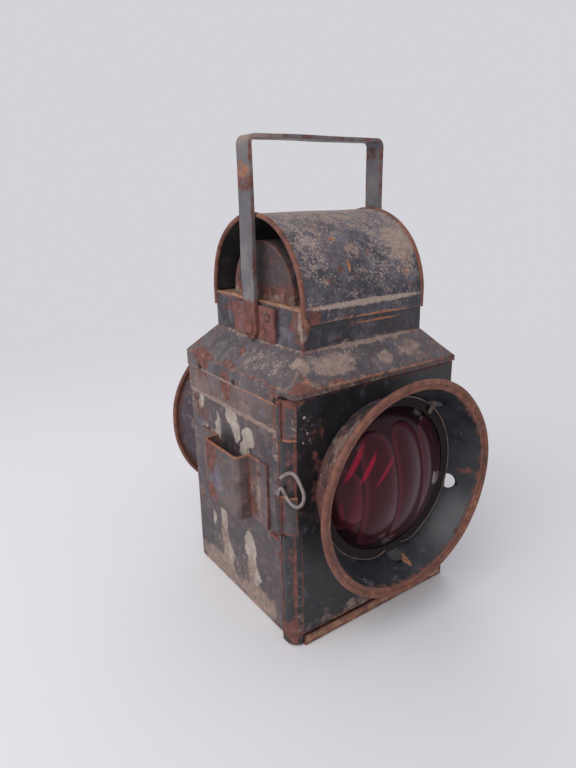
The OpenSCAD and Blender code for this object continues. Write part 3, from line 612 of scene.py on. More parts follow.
@dataclass(frozen=True)
class Weather:
    """Where each layer lies on a finish.

    Attributes:
        spread: How much of it lies everywhere: 0.25 is half the surface, 0.1 a few specks, 0 hardly any.
        upward: How much more lies on faces that look up.
        edges: How much more lies on worn edges.
        marks: The places where it gathers.
        ragged: How far in millimetres the outlines of the marks wander. Thin marks wander less.
    """

    spread: Mapping[Layer, float] = field(default_factory=dict)
    upward: Mapping[Layer, float] = field(default_factory=dict)
    edges: Mapping[Layer, float] = field(default_factory=dict)
    marks: tuple[Mark, ...] = ()
    ragged: float = 9.0

    def lay(self, tree: Tree, skin: Skin, place: Source) -> Skin:
        """Lays the layers over a finish, from the lowest up.

        Args:
            tree: The material's node tree.
            skin: The finish under them.
            place: The place on the lamp, in millimetres.

        Returns:
            The finish with the layers on it.
        """
        used = {*self.spread, *self.upward, *self.edges, *(mark.layer for mark in self.marks)}
        facing = add_node(tree, "ShaderNodeTexCoord").outputs["Normal"]
        upright = add_node(tree, "ShaderNodeSeparateXYZ", {0: facing}).outputs[2]
        top = add_node(tree, "ShaderNodeMath", {0: upright, 1: 0.0}, operation="MAXIMUM")
        worn = add_node(tree, "ShaderNodeAttribute", attribute_name="wear").outputs["Fac"]
        wander = add_node(
            tree, "ShaderNodeTexNoise", {"Vector": place, "Scale": 0.11, "Detail": 3.0},
        ).outputs["Color"]
        lean = self.ragged / 2
        offset = add_node(
            tree, "ShaderNodeMapRange", {"Vector": wander, 9: (-lean,) * 3, 10: (lean,) * 3},
            data_type="FLOAT_VECTOR",
        ).outputs["Vector"]
        torn, neat = (
            add_node(
                tree, "ShaderNodeVectorMath", {0: offset, 1: (much,) * 3, 2: place},
                operation="MULTIPLY_ADD",
            )
            for much in (1.0, 0.16)
        )
        for number, layer in enumerate(Layer):
            if layer not in used:
                continue
            look = DEPOSITS[layer]
            # Each layer reads a part of the noise of its own
            step = 37.0 * number + 11.0
            moved = add_node(
                tree, "ShaderNodeMapping", {"Vector": place, "Location": (step, -step, 2 * step)},
            )
            blotch = add_node(
                tree, "ShaderNodeTexNoise",
                {"Vector": moved, "Scale": 1 / look.grain, "Detail": 7.0, "Roughness": 0.64},
            )
            crowd = add_node(
                tree, "ShaderNodeTexNoise",
                {"Vector": moved, "Scale": 0.2 / look.grain ** 0.7, "Detail": 2.0},
            )
            ground = self.spread.get(layer, 0.0) - look.gather / 2
            total: Source = add_node(tree, "ShaderNodeMath", {0: blotch, 1: ground}, operation="ADD")
            terms = [(crowd, look.gather)]
            terms += [(top, self.upward[layer])] if layer in self.upward else []
            terms += [(worn, self.edges[layer])] if layer in self.edges else []
            terms += [
                (mark.near(tree, neat if min(mark.reach) < NEAT else torn), 1.0)
                for mark in self.marks
                if mark.layer is layer
            ]
            for term, weight in terms:
                total = add_node(
                    tree, "ShaderNodeMath", {0: term, 1: weight, 2: total}, operation="MULTIPLY_ADD",
                )
            skin = self._cover(tree, skin, look, moved, total)
        return skin

    def _cover(self, tree: Tree, skin: Skin, look: Deposit, place: Source, total: Source) -> Skin:
        """Covers a finish with one layer where its total is high enough.

        Args:
            tree: The material's node tree.
            skin: The finish under it.
            look: How the layer looks.
            place: The place that its own pattern reads.
            total: Its blotches with all that gathers there.

        Returns:
            The finish with the layer on it.
        """
        cover = add_node(
            tree, "ShaderNodeMapRange",
            {"Value": total, "From Min": COVERED - look.edge, "From Max": COVERED + look.edge},
            interpolation_type="SMOOTHSTEP",
        )
        fleck = add_node(
            tree, "ShaderNodeTexNoise",
            {"Vector": place, "Scale": 1.3 / look.grain, "Detail": 8.0, "Roughness": 0.62},
        )
        tone = add_node(tree, "ShaderNodeMapRange", {"Value": fleck, "From Min": 0.3, "From Max": 0.7})
        paint = add_node(
            tree, "ShaderNodeMix", {0: tone, 6: srgb(look.tones[1]), 7: srgb(look.tones[0])},
            data_type="RGBA",
        )
        height = add_node(
            tree, "ShaderNodeMath", {0: fleck, 1: 0.5, 2: look.lift - 0.25}, operation="MULTIPLY_ADD",
        )
        pairs = ((skin.roughness, look.roughness), (skin.height, height), (skin.metallic, 0.0))
        rough, high, metal = (
            add_node(tree, "ShaderNodeMix", {0: cover, 2: under, 3: over})
            for under, over in pairs
        )
        colour = add_node(
            tree, "ShaderNodeMix", {0: cover, 6: skin.colour, 7: paint.outputs[2]}, data_type="RGBA",
        ).outputs[2]
        return Skin(colour, rough, high, metal if skin.metallic else 0.0)


@dataclass(frozen=True)
class Finish:
    """A base surface with its weather, from which a material is made.

    Attributes:
        name: What the surface is.
        tones: Its dark, middle and light colours.
        roughness: Its lowest and highest roughness.
        grain: The size in millimetres of its mottling.
        metallic: 1 for bare metal, else 0.
        bump: The depth in millimetres of its unevenness.
        weather: What lies on it.
        stretch: How its mottling is stretched along x, y and z.
        sheen: A thin clear coat's strength, for oiled paint.
    """

    name: str
    tones: tuple[str, str, str]
    roughness: tuple[float, float] = (0.42, 0.62)
    grain: float = 9.0
    metallic: float = 0.0
    bump: float = 0.35
    weather: Weather = Weather()
    stretch: Point = (1.0, 1.0, 1.0)
    sheen: float = 0.0

    def material(self) -> Material:
        """Makes the material once and keeps it.

        Returns:
            The material.
        """
        known = bpy.data.materials.get(self.name)
        if known:
            return known
        material = bpy.data.materials.new(self.name)
        tree = empty_tree(material)
        where = add_node(tree, "ShaderNodeTexCoord").outputs["Object"]
        place = add_node(tree, "ShaderNodeMapping", {"Vector": where, "Scale": (1 / MM, 1 / MM, 1 / MM)})
        drawn = add_node(tree, "ShaderNodeMapping", {"Vector": place, "Scale": self.stretch})
        broad = add_node(
            tree, "ShaderNodeTexNoise", {"Vector": drawn, "Scale": 0.25 / self.grain, "Detail": 3.0},
        )
        fine = add_node(
            tree, "ShaderNodeTexNoise",
            {"Vector": drawn, "Scale": 1 / self.grain, "Detail": 9.0, "Roughness": 0.66},
        )
        blend = add_node(tree, "ShaderNodeMix", {0: 0.55, 2: broad, 3: fine})
        dark, middle, light = self.tones
        stops = ((0.36, dark), (0.66, light), (0.5, middle))
        ramp = add_node(tree, "ShaderNodeValToRGB", {0: blend}, stops)
        dull = add_node(
            tree, "ShaderNodeMapRange",
            {
                "Value": fine, "From Min": 0.35, "From Max": 0.65, "To Min": self.roughness[0],
                "To Max": self.roughness[1],
            },
        )
        skin = self.weather.lay(tree, Skin(ramp, dull, blend, self.metallic), place)
        bump = add_node(
            tree, "ShaderNodeBump", {"Height": skin.height, "Distance": self.bump * MM, "Strength": 0.8},
        )
        surface = add_node(
            tree, "ShaderNodeBsdfPrincipled",
            {
                "Base Color": skin.colour, "Roughness": skin.roughness, "Metallic": skin.metallic,
                "Normal": bump, "Coat Weight": self.sheen, "Coat Roughness": 0.3,
            },
        )
        add_node(tree, "ShaderNodeOutputMaterial", {"Surface": surface})
        return material


@dataclass(frozen=True)
class Flutes:
    """The upright round-ended flutes pressed into the back of a lens, in metres.

    Attributes:
        pitch: How far apart they stand.
        depth: How far they stand proud.
        reach: The radius of the circle that their ends touch.
        middle: Where the middle one stands.
        height: The height of the lens axis.
    """

    pitch: float = 0.028
    depth: float = 0.0022
    reach: float = 0.053
    middle: float = 0.002
    height: float = 0.132


@dataclass(frozen=True)
class PressedGlass:
    """Pressed signal glass, coloured through. Its flutes show through its smooth dome.

    Attributes:
        name: What the glass is.
        body: The colour within a flute.
        rim: The colour near a flute's border, a painted sheen that is paler than the body.
        deep: The colour between the flutes and on the flat edge.
        glint: The colour of the painted streaks of light, which stand in for light that comes in through
            the back.
        gleam: The tint of its gloss, as some of it comes back from inside the glass.
        clear: How much light passes through it.
        streaks: The painted streaks of light.
        grime: The colour of the film on it.
    """

    name: str
    body: str
    rim: str
    deep: str
    glint: str
    gleam: str
    clear: float
    streaks: tuple[Mark, ...] = ()
    grime: str = "#6b4d4b"

    def material(self, flutes: Flutes) -> Material:
        """Makes the glass material.

        Args:
            flutes: The flutes of the lens.

        Returns:
            The material.
        """
        material = bpy.data.materials.new(self.name)
        tree = empty_tree(material)
        where = add_node(tree, "ShaderNodeTexCoord").outputs["Object"]
        sizes = (flutes.pitch, flutes.reach, flutes.middle, flutes.height)
        share = flute_share(tree, where, *sizes)
        # The rim tone is a painted sheen just inside each flute's border
        stops = ((0.3, self.body), (0.96, self.deep), (0.74, self.rim))
        ramp = add_node(tree, "ShaderNodeValToRGB", {0: share}, stops)
        place = add_node(tree, "ShaderNodeMapping", {"Vector": where, "Scale": (1 / MM, 1 / MM, 1 / MM)})
        colour = ramp
        # Paints the streaks of light in the glint colour, as painted highlights
        for streak in self.streaks:
            near = streak.near(tree, place)
            colour = add_node(
                tree, "ShaderNodeMix", {0: near, 6: colour, 7: srgb(self.glint)}, data_type="RGBA",
            ).outputs[2]
        dirt = add_node(
            tree, "ShaderNodeTexNoise", {"Vector": place, "Scale": 0.2, "Detail": 8.0, "Roughness": 0.7},
        )
        film = add_node(tree, "ShaderNodeMapRange", {"Value": dirt, "From Min": 0.6, "From Max": 0.85})
        grimed = add_node(
            tree, "ShaderNodeMix", {0: film, 6: colour, 7: srgb(self.grime)}, data_type="RGBA",
        ).outputs[2]
        crown = add_node(tree, "ShaderNodeMapRange", {"Value": share, "To Min": 1.0, "To Max": 0.0})
        bump = add_node(tree, "ShaderNodeBump", {"Height": crown, "Distance": 0.0045, "Strength": 0.5})
        surface = add_node(
            tree, "ShaderNodeBsdfPrincipled",
            {
                "Base Color": grimed, "Roughness": 0.22, "IOR": 1.52, "Specular Tint": srgb(self.gleam),
                "Transmission Weight": self.clear, "Normal": bump,
            },
        )
        add_node(tree, "ShaderNodeOutputMaterial", {"Surface": surface})
        return material


STEEL, PALE, RUST, SPECK = Layer.STEEL, Layer.PALE, Layer.RUST, Layer.SPECK
BRIGHT, DUST, SOOT = Layer.BRIGHT, Layer.DUST, Layer.SOOT

# Oil paint on the sheet walls: slate grey gone lilac, with drips of undercoat showing
WALL_PAINT = Finish(
    "wall_oil_paint", ("#312d31", "#483f43", "#635554"), (0.4, 0.64), 12.0,
    weather=Weather(
        spread={STEEL: 0.13, PALE: 0.04, RUST: 0.07, DUST: 0.08, SPECK: 0.02},
        edges={RUST: 0.26, DUST: 0.12},
        marks=(
            *spots(
                PALE, (-84.5, 9, 176, 9, 11, 14, 0.48), (-84.5, 2, 163, 9, 8, 11, 0.46),
                (-84.5, -18, 164, 9, 12, 10, 0.5), (-84.5, -12, 150, 9, 11, 8, 0.44),
                (-84.5, 34, 158, 9, 6, 13, 0.38), (-84.5, 64, 174, 9, 6, 10, 0.38),
                (-84.5, 48, 149, 9, 24, 7, 0.26), (-84.5, 33, 66, 9, 7, 24, 0.44),
                (-84.5, 28, 30, 9, 11, 18, 0.44), (-84.5, 52, 58, 9, 4, 10, 0.34),
                (-84.5, -13, 56, 9, 11, 20, 0.46), (-84.5, -20, 32, 9, 10, 14, 0.44),
            ),
            *spots(
                DUST, (-84.5, 33, 44, 9, 9, 26, 0.26), (-84.5, -14, 36, 9, 9, 18, 0.22),
                (-84.5, 44, 9, 9, 42, 17, 0.42), (-84.5, -26, 10, 9, 34, 15, 0.42),
                (-84.5, 14, 181.2, 6, 90, 1.5, 0.6),
            ),
            *spots(
                SPECK, (-84.5, 24, 26, 9, 50, 30, 0.12), (-84.5, 78, 150, 9, 8, 60, 0.14),
                (-84.5, -62, 170, 9, 10, 18, 0.14),
            ),
            *spots(
                RUST, (-84.5, -62, 120, 9, 7, 120, 0.12), (-84.5, 62, 166, 9, 16, 12, 0.2),
                (-84.5, 20, 90, 9, 22, 10, 0.14),
            ),
            band(RUST, "z", 0, 3, 0.3),
        ),
    ),
)

# The same paint on the walls that the photograph doesn't show
CASE_PAINT = Finish(
    "case_oil_paint", ("#34343c", "#494853", "#5e5a64"), (0.4, 0.64), 12.0,
    weather=Weather(
        spread={STEEL: 0.15, PALE: 0.08, RUST: 0.1, DUST: 0.1, SPECK: 0.05},
        edges={RUST: 0.26, DUST: 0.1},
        marks=(
            band(RUST, "z", 0, 4, 0.3),
            *spots(
                PALE, (84.5, 20, 168, 9, 16, 14, 0.34), (84.5, -12, 60, 9, 7, 26, 0.36),
                (84.5, 52, 40, 9, 6, 20, 0.34), (-62, 84, 40, 7, 9, 24, 0.34),
            ),
            *spots(DUST, (84.5, 30, 10, 9, 50, 13, 0.38), (20, 84, 10, 60, 9, 13, 0.38)),
        ),
    ),
)

# Black enamel on the door, gone slate blue, with few chips and dust low down
DOOR_PAINT = Finish(
    "door_black_enamel", ("#191a1e", "#222327", "#2d2e32"), (0.36, 0.52), 16.0, bump=0.25,
    weather=Weather(
        spread={STEEL: 0.04, RUST: 0.03, DUST: -0.02, SPECK: -0.04}, edges={RUST: 0.24},
        marks=(
            *spots(
                PALE, (-76, -84, 200, 1.5, 9, 1.5, 0.4), (-73, -84, 187, 1.3, 9, 1.6, 0.4),
                (-77, -84, 180, 1.2, 9, 1.3, 0.4),
            ),
            *spots(SPECK, (-75, -84, 192, 9, 9, 24, 0.12)), *spots(BRIGHT, (0, -84, 9, 95, 9, 3.5, 0.3)),
            *spots(DUST, (-10, -84, 14, 85, 9, 9, 0.22), (-82, -84, 50, 3.2, 9, 60, 0.12)),
            *spots(
                RUST, (-62, -84, 172, 8, 9, 26, 0.12), (-66, -84, 132, 7, 9, 44, 0.16),
                (-88, -82, 14, 9, 12, 14, 0.3), (-84, -86, 160, 1.6, 6, 70, 0.34),
                (-86, -82, 160, 5, 9, 26, 0.16), (-87, -80, 60, 4, 9, 50, 0.14),
                (-84, -84, 212, 12, 9, 3, 0.36), (-91.5, -76, 60, 1.6, 9, 90, 0.3),
                (-79.5, -86, 60, 1.2, 6, 80, 0.24), (-85, -84, 60, 1.4, 9, 80, 0.3),
            ),
        ),
        ragged=4.0,
    ),
)

# Wall paint rubbed and rusted where the roof laps over it
BAND_PAINT = Finish(
    "lap_band_paint", ("#4b3f42", "#65534f", "#7d6661"), (0.44, 0.68), 10.0,
    weather=Weather(
        spread={STEEL: 0.12, RUST: 0.1, DUST: 0.1, SPECK: 0.02}, edges={RUST: 0.2, DUST: 0.2},
        marks=(
            *spots(
                RUST, (-85.7, 56, 214, 9, 18, 18, 0.32), (-85.7, 15, 200, 9, 10, 16, 0.34),
                (-85.7, -20, 208, 9, 40, 4, 0.26), (-85.7, -62, 196, 9, 8, 20, 0.3),
                (-85.7, -66, 210, 9, 14, 8, 0.3),
            ),
            *spots(DUST, (-85.7, 0, 183.2, 9, 90, 1.4, 0.5)),
        ),
    ),
)

# Roof paint that has stood in soot and rain: brown lilac on the left, dark in front
ROOF_PAINT = Finish(
    "roof_weathered_paint", ("#3a353a", "#51494c", "#665b5e"), (0.42, 0.66), 11.0,
    weather=Weather(
        spread={STEEL: 0.12, RUST: 0.08, DUST: 0.07, SPECK: 0.07}, upward={DUST: 0.03},
        edges={RUST: 0.2, DUST: 0.08},
        marks=(
            *spots(
                DUST, (-40, -75, 231, 24, 9, 10, 0.34), (12, -77, 228, 10, 8, 6, 0.3),
                (40, -76, 232, 16, 8, 7, 0.24), (-68, -70, 233, 6, 9, 10, 0.36),
                (-86, 30, 205, 4, 60, 1.4, 0.34), (0, -66, 242, 64, 3, 3, 0.3),
                (-63, 0, 242, 3, 64, 3, 0.24),
            ),
            *spots(
                BRIGHT, (-72, -80, 224, 8, 7, 6, 0.26), (-86, -42, 205, 4, 48, 1.4, 0.42),
                (0, -85, 219, 90, 4, 1.4, 0.34),
            ),
            *spots(
                RUST, (-74, -85, 221, 14, 8, 5, 0.42), (-46, -84, 221, 10, 6, 2.4, 0.3),
                (-84, 54, 221, 6, 24, 5, 0.36), (-84, 10, 221, 6, 14, 3, 0.26),
                (-75, 4, 232, 6, 5, 5, 0.3), (-85.7, 58, 214, 9, 16, 8, 0.34),
                (-85.7, 16, 208, 9, 9, 8, 0.3), (-85.7, -60, 212, 9, 10, 6, 0.26),
            ),
            *spots(SPECK, (-76, -32, 230, 12, 40, 18, 0.11), (-40, -74, 236, 40, 9, 8, 0.1)),
        ),
    ),
)

# Dark paint on the neck, split and rusted along the cowl's lower edge
NECK_PAINT = Finish(
    "neck_dark_paint", ("#1f1e23", "#2c2a30", "#403c42"), (0.38, 0.6), 12.0,
    weather=Weather(
        spread={STEEL: 0.11, RUST: 0.07, DUST: 0.0, SPECK: 0.04}, edges={RUST: 0.24, DUST: 0.12},
        marks=(
            *spots(STEEL, (-62, 0, 256, 5, 90, 40, 0.1)),
            *spots(RUST, (-62, -58, 258, 6, 10, 16, 0.24), (-62, 34, 262, 6, 24, 8, 0.2)),
            *spots(DUST, (-62, -63, 262, 6, 6, 14, 0.36), (0, -66, 243, 66, 4, 3, 0.26)),
            *spots(BRIGHT, (14, -65, 257.5, 30, 5, 1.0, 0.46)),
        ),
    ),
)

# Blue-black cowl paint under a crust of beige and lilac specks, thickest on top, with a dust-coloured
# strip of painted highlight along the crown
COWL_PAINT = Finish(
    "cowl_blue_black_paint", ("#22222a", "#31313a", "#45434c"), (0.38, 0.6), 9.0,
    weather=Weather(
        spread={STEEL: 0.16, DUST: 0.03, RUST: 0.07, SPECK: 0.1},
        upward={DUST: 0.08, STEEL: 0.13, SPECK: 0.12, BRIGHT: 0.08}, edges={RUST: 0.22, DUST: 0.16},
        marks=(
            *spots(
                # The first dust mark, a strip along the crown, is a painted highlight
                DUST, (0, 0, 341, 90, 46, 12, 0.16), (-14, -60, 298, 44, 12, 16, -0.1),
                (10, -52, 312, 26, 12, 10, -0.08), (46, -50, 310, 13, 18, 26, 0.3),
                (54, -40, 320, 8, 40, 50, 0.16), (-6, -55, 311, 9, 10, 8, 0.36),
                (-40, -60, 292, 6, 8, 5, 0.28), (0, -66, 274.6, 70, 4, 1.3, 0.36),
            ),
            *spots(
                SPECK, (-8, -50, 308, 46, 16, 20, -0.07), (-44, -52, 312, 14, 20, 22, 0.07),
                (30, -50, 305, 34, 26, 26, 0.07), (0, -66, 273.5, 64, 4, 2.8, 0.36),
            ),
            *spots(
                BRIGHT, (46, -57, 298, 10, 14, 14, 0.2), (44, -55, 310, 3, 8, 14, 0.24),
                (-20, -47, 321, 4, 6, 2.4, 0.42), (-14, -60, 302, 2, 8, 6, 0.42),
                (-46, -66, 274, 16, 4, 1.6, 0.4), (16, -66, 263, 32, 5, 1.5, 0.56),
            ),
            *spots(
                RUST, (-23, -61, 299, 3, 6, 3, 0.36), (-37, -63, 293, 3, 6, 3, 0.3),
                (-54, -66, 266, 9, 5, 8, 0.3),
            ),
        ),
        ragged=6.0,
    ),
)

# The inside of the cowl: lamp soot over bare rusted sheet
COWL_INSIDE = Finish(
    "sooted_cowl_inside", ("#1c1b1e", "#292729", "#3a3533"), (0.7, 0.95), 12.0, bump=0.3,
    weather=Weather(spread={RUST: 0.06, SOOT: 0.12}, marks=(band(RUST, "z", 262, 10, 0.2),)),
)

# Heat-tanned sheet of the deck, gone orange at its lip
DECK_STEEL = Finish(
    "tanned_deck_sheet", ("#754f3d", "#a0745a", "#bd9378"), (0.75, 0.95), 8.0, bump=0.4,
    weather=Weather(spread={RUST: 0.12, DUST: 0.12}, edges={DUST: 0.2}),
)

# The baffle: brown oxide with soot on its crown and a tan lower edge
BAFFLE_STEEL = Finish(
    "heated_baffle_sheet", ("#332d30", "#463d3f", "#5b4f4e"), (0.7, 0.92), 12.0, bump=0.35,
    weather=Weather(
        spread={RUST: 0.12, SOOT: 0.08, DUST: 0.06}, edges={RUST: 0.2},
        marks=(band(RUST, "z", 274, 14, 0.24), band(DUST, "z", 275, 5, 0.2)), ragged=14.0,
    ),
)

# Iron brackets with no paint left: red-brown all over
BRACKET_IRON = Finish(
    "red_rusted_iron", ("#58332f", "#774a44", "#8c5a50"), (0.78, 0.95), 7.0, bump=0.5,
    weather=Weather(
        spread={RUST: 0.1, BRIGHT: 0.06, STEEL: 0.05}, edges={STEEL: 0.12},
        marks=spots(SOOT, *((x, y, 261.8, 6, 4.6, 4.6, 0.5) for x in (-64.5, 64.5) for y in (-21, 21))),
    ),
)

# The handle: grey strap steel, polished by hands on top and pinkish brown along its edges
HANDLE_STEEL = Finish(
    "grey_strap_steel", ("#56545a", "#6b686c", "#84807f"), (0.4, 0.58), 16.0, metallic=0.2, bump=0.2,
    weather=Weather(
        spread={RUST: 0.03, STEEL: 0.1, DUST: 0.04}, edges={RUST: 0.24, DUST: 0.06},
        marks=(
            *spots(BRIGHT, (-67, 0, 373, 6, 12, 9, 0.34)),
            *spots(
                RUST, (-67, 0, 364, 6, 14, 10, 0.26), (-67, 0, 252, 9, 30, 24, 0.8),
                (67, 0, 252, 9, 30, 24, 0.8), (67, 0, 386, 6, 14, 8, 0.2),
            ),
            *spots(DUST, (-56, 0, 398, 26, 20, 12, 0.34)),
        ),
    ),
)

# Folded socket plate: slate in front, rusty on its flanges and on the upper left
SOCKET_PAINT = Finish(
    "socket_slate_paint", ("#3c3537", "#574a4a", "#735f5d"), (0.38, 0.6), 11.0,
    weather=Weather(
        spread={STEEL: 0.1, RUST: 0.08, DUST: 0.06}, edges={RUST: 0.3},
        marks=(
            *spots(
                RUST, (-99, 32, 138, 8, 22, 22, 0.4), (-99, 28, 102, 8, 16, 9, 0.34),
                (-92, 38, 140, 8, 8, 9, 0.3), (-86, 43, 121, 4, 12, 32, 0.2),
                (-86, -24, 121, 4, 6, 32, 0.16), (-86, -26, 106, 4, 12, 10, 0.24),
            ),
            *spots(STEEL, (-99, 14, 116, 8, 12, 16, 0.2)),
            *spots(BRIGHT, (-95, 0, 149.8, 30, 60, 1.2, 0.36)),
            *spots(DUST, (-86, -34, 124, 4, 4, 30, 0.26)),
            *spots(SPECK, (-86, -28, 126, 4, 12, 26, 0.12)),
        ),
    ),
)

# Domed rivet heads with most of their paint gone
RIVET_IRON = Finish(
    "rusted_rivet_iron", ("#4a3632", "#6b4f47", "#876a5e"), (0.6, 0.9), 3.0, bump=0.25,
    weather=Weather(spread={RUST: 0.14, STEEL: 0.14, DUST: 0.1}),
)

# Flush rivet heads in the brackets, as red as the iron round them
BRACKET_RIVET_IRON = Finish(
    "red_rivet_iron", ("#5a3531", "#7b4d46", "#8f5e53"), (0.78, 0.95), 3.0, bump=0.35,
    weather=Weather(spread={RUST: 0.12}),
)

# Rivet heads on the roof lip: almost black against the rust round them
ROOF_RIVET_IRON = Finish(
    "sooty_rivet_iron", ("#1b1516", "#2a201f", "#3f2e2b"), (0.6, 0.9), 3.0, bump=0.25,
    weather=Weather(spread={RUST: 0.04}),
)

# Hood outside: black paint worn to brown, and scratched to beige above
HOOD_OUTSIDE = Finish(
    "hood_outer_paint", ("#26232a", "#383236", "#4d4346"), (0.42, 0.66), 7.0,
    weather=Weather(
        spread={STEEL: 0.08, RUST: 0.14, DUST: 0.08, SPECK: 0.02, SOOT: 0.04}, edges={RUST: 0.3},
        marks=(
            *spots(DUST, (-60, -105, 190, 26, 26, 34, 0.09)),
            *spots(SPECK, (-66, -100, 180, 26, 26, 44, 0.13)),
            *spots(SOOT, (-66, -104, 176, 24, 30, 40, 0.12)),
            *spots(RUST, (-72, -105, 160, 30, 30, 66, 0.26)),
            *spots(STEEL, (-72, -105, 170, 26, 30, 50, 0.14)),
        ),
        ragged=14.0,
    ),
)

# Hood inside: blue-black enamel that kept its gloss, with rust runs and lime specks at the bottom, and a
# grey-blue patch low down that is rubbed steel and partly painted light from the floor
HOOD_INSIDE = Finish(
    "hood_inner_enamel", ("#1e2024", "#292c31", "#383c41"), (0.27, 0.4), 18.0, bump=0.12,
    weather=Weather(
        spread={RUST: -0.02, STEEL: 0.02, SPECK: -0.06}, edges={RUST: 0.34},
        marks=(
            *spots(
                RUST, (82, -108, 122, 10, 12, 5, 0.4), (86, -112, 108, 6, 12, 8, 0.36),
                (84, -106, 165, 5, 12, 7, 0.34), (88, -112, 148, 4, 12, 7, 0.3),
            ),
            *spots(BRIGHT, (11, -104, 56, 4, 12, 9, 0.4)),
            *spots(PALE, (-44, -114, 65, 3, 9, 2.4, 0.36), (-31, -114, 49, 3, 9, 2, 0.36)),
            # Rubbed steel low in the hood, which is also a lighter patch of painted light from the floor
            *spots(STEEL, (-4, -112, 52, 60, 16, 16, 0.14)),
            *spots(SPECK, (-6, -112, 52, 40, 12, 8, 0.1)),
        ),
        ragged=7.0,
    ),
)

# Rolled hood edge: paint gone, pinkish brown rust
RIM_STEEL = Finish(
    "rusted_rolled_rim", ("#4d3027", "#75493b", "#916350"), (0.66, 0.9), 8.0, bump=0.45,
    weather=Weather(spread={RUST: 0.15, STEEL: 0.03, DUST: 0.04, BRIGHT: 0.1}),
)

# Rear hood: purple-brown all over
REAR_HOOD_PAINT = Finish(
    "rear_hood_paint", ("#332b34", "#453b45", "#574b53"), (0.42, 0.64), 11.0,
    weather=Weather(spread={STEEL: 0.08, RUST: 0.07, DUST: 0.06}, edges={RUST: 0.2}),
)

# Small lens fittings: dull dark spring steel
FITTING_STEEL = Finish(
    "dull_spring_steel", ("#3d3531", "#675850", "#8a7a70"), (0.45, 0.75), 4.0, metallic=0.3, bump=0.15,
    weather=Weather(spread={RUST: 0.14}),
)

# Bare drawn wire of the pin, pinkish grey and freckled with rust
PIN_WIRE = Finish(
    "bare_drawn_wire", ("#6f6462", "#8f8380", "#a89c98"), (0.38, 0.6), 5.0, metallic=0.3, bump=0.12,
    weather=Weather(spread={RUST: 0.08}),
)

# Perished rubber ring under the spring, dark maroon from the glass above it
GASKET_RUBBER = Finish(
    "perished_rubber_gasket", ("#150a0e", "#1c0f14", "#28161c"), (0.82, 0.95), 6.0, bump=0.15,
)

# Base pan: unpainted sheet, tan and rusted through its whole face
PAN_STEEL = Finish(
    "rusted_base_sheet", ("#7a5644", "#a87d66", "#c39c80"), (0.8, 0.96), 9.0, bump=0.4,
    weather=Weather(spread={RUST: 0.15, BRIGHT: 0.14, DUST: 0.08, STEEL: 0.04}, edges={RUST: 0.28}),
)

# Hinges, keeper and door frame: dark sheet with its edge rusted
FRAME_PAINT = Finish(
    "frame_rust_paint", ("#3a2f30", "#533f3d", "#6b504a"), (0.55, 0.8), 9.0,
    weather=Weather(spread={RUST: 0.16, STEEL: 0.08}, edges={RUST: 0.24, BRIGHT: 0.06}),
)

# Hasp and corner strap: slate plates with thin rusted edges
HASP_PAINT = Finish(
    "hasp_slate_paint", ("#2f2b2e", "#433c3f", "#5a4e50"), (0.42, 0.64), 8.0,
    weather=Weather(
        spread={RUST: 0.08, STEEL: 0.08, SPECK: 0.04}, edges={RUST: 0.26},
        marks=(
            *spots(
                RUST, (-91, -74, 198, 2.4, 12, 22, 0.24), (-86, -82, 212, 12, 12, 4, 0.4),
                (-84, -80, 104, 14, 12, 2, 0.4),
            ),
            *spots(BRIGHT, (-84, -80, 183.5, 14, 12, 1.4, 0.4), (-84, -80, 137, 14, 12, 1.8, 0.46)),
            *spots(SPECK, (-80, -84, 196, 8, 9, 16, 0.14)),
        ),
        ragged=4.0,
    ),
)

# Tinplate of the oil fount: grey, spangled and a little stained
TINPLATE = Finish(
    "aged_tinplate", ("#6f6e6c", "#8b8a87", "#a6a4a0"), (0.34, 0.52), 7.0, metallic=0.8, bump=0.12,
    weather=Weather(spread={RUST: 0.12, SOOT: 0.12}),
)

# Stamped brass of the burner, browned by heat
BURNER_BRASS = Finish(
    "browned_burner_brass", ("#6b4d22", "#96712f", "#b8934a"), (0.3, 0.5), 6.0, metallic=0.95, bump=0.1,
    weather=Weather(spread={SOOT: 0.15}),
)

# Woven cotton wick: the weave runs at 1.5 mm, charred at the top
WICK_COTTON = Finish(
    "woven_wick_cotton", ("#6b5f4e", "#a39680", "#c9bda6"), (0.9, 1.0), 1.5, bump=0.5,
    weather=Weather(marks=spots(SOOT, (0, 0, 104, 12, 12, 9, 0.6))),
)

# Inner fittings that stand in lamp smoke
SMOKED_STEEL = Finish(
    "smoked_inner_sheet", ("#1d1917", "#2e2723", "#453a34"), (0.65, 0.9), 9.0,
    weather=Weather(spread={RUST: 0.14, SOOT: 0.16}),
)

# Ruby glass: deep purple red, with a painted sheen near each flute's border and light painted in three
# streaks
RUBY_GLASS = PressedGlass(
    "pressed_ruby_glass", "#47131f", "#6b2a3b", "#22070d", "#e01a48", "#ddb2b8", 0.5,
    # Painted streaks of light: these marks only give their places, and their layer is not used
    spots(
        BRIGHT, (-42.8, -108, 161, 2.2, 60, 19, 0.9, 34.3), (-34.2, -108, 156, 2.0, 60, 15, 0.8, 35.2),
        (-21.3, -108, 152, 1.6, 60, 15, 0.5, 41.6), (-54, -108, 122, 1.8, 60, 12, 0.26, -6.0),
        (-44, -108, 120, 6, 60, 20, 0.12),
    ),
)

# Clear glass of the rear lens, a little green in its thickness, with the same painted sheen near each
# flute's border
CLEAR_GLASS = PressedGlass(
    "pressed_clear_glass", "#b9c6c2", "#cdd8d4", "#8c9a96", "#ffffff", "#ffffff", 0.8,
)


# Pieces


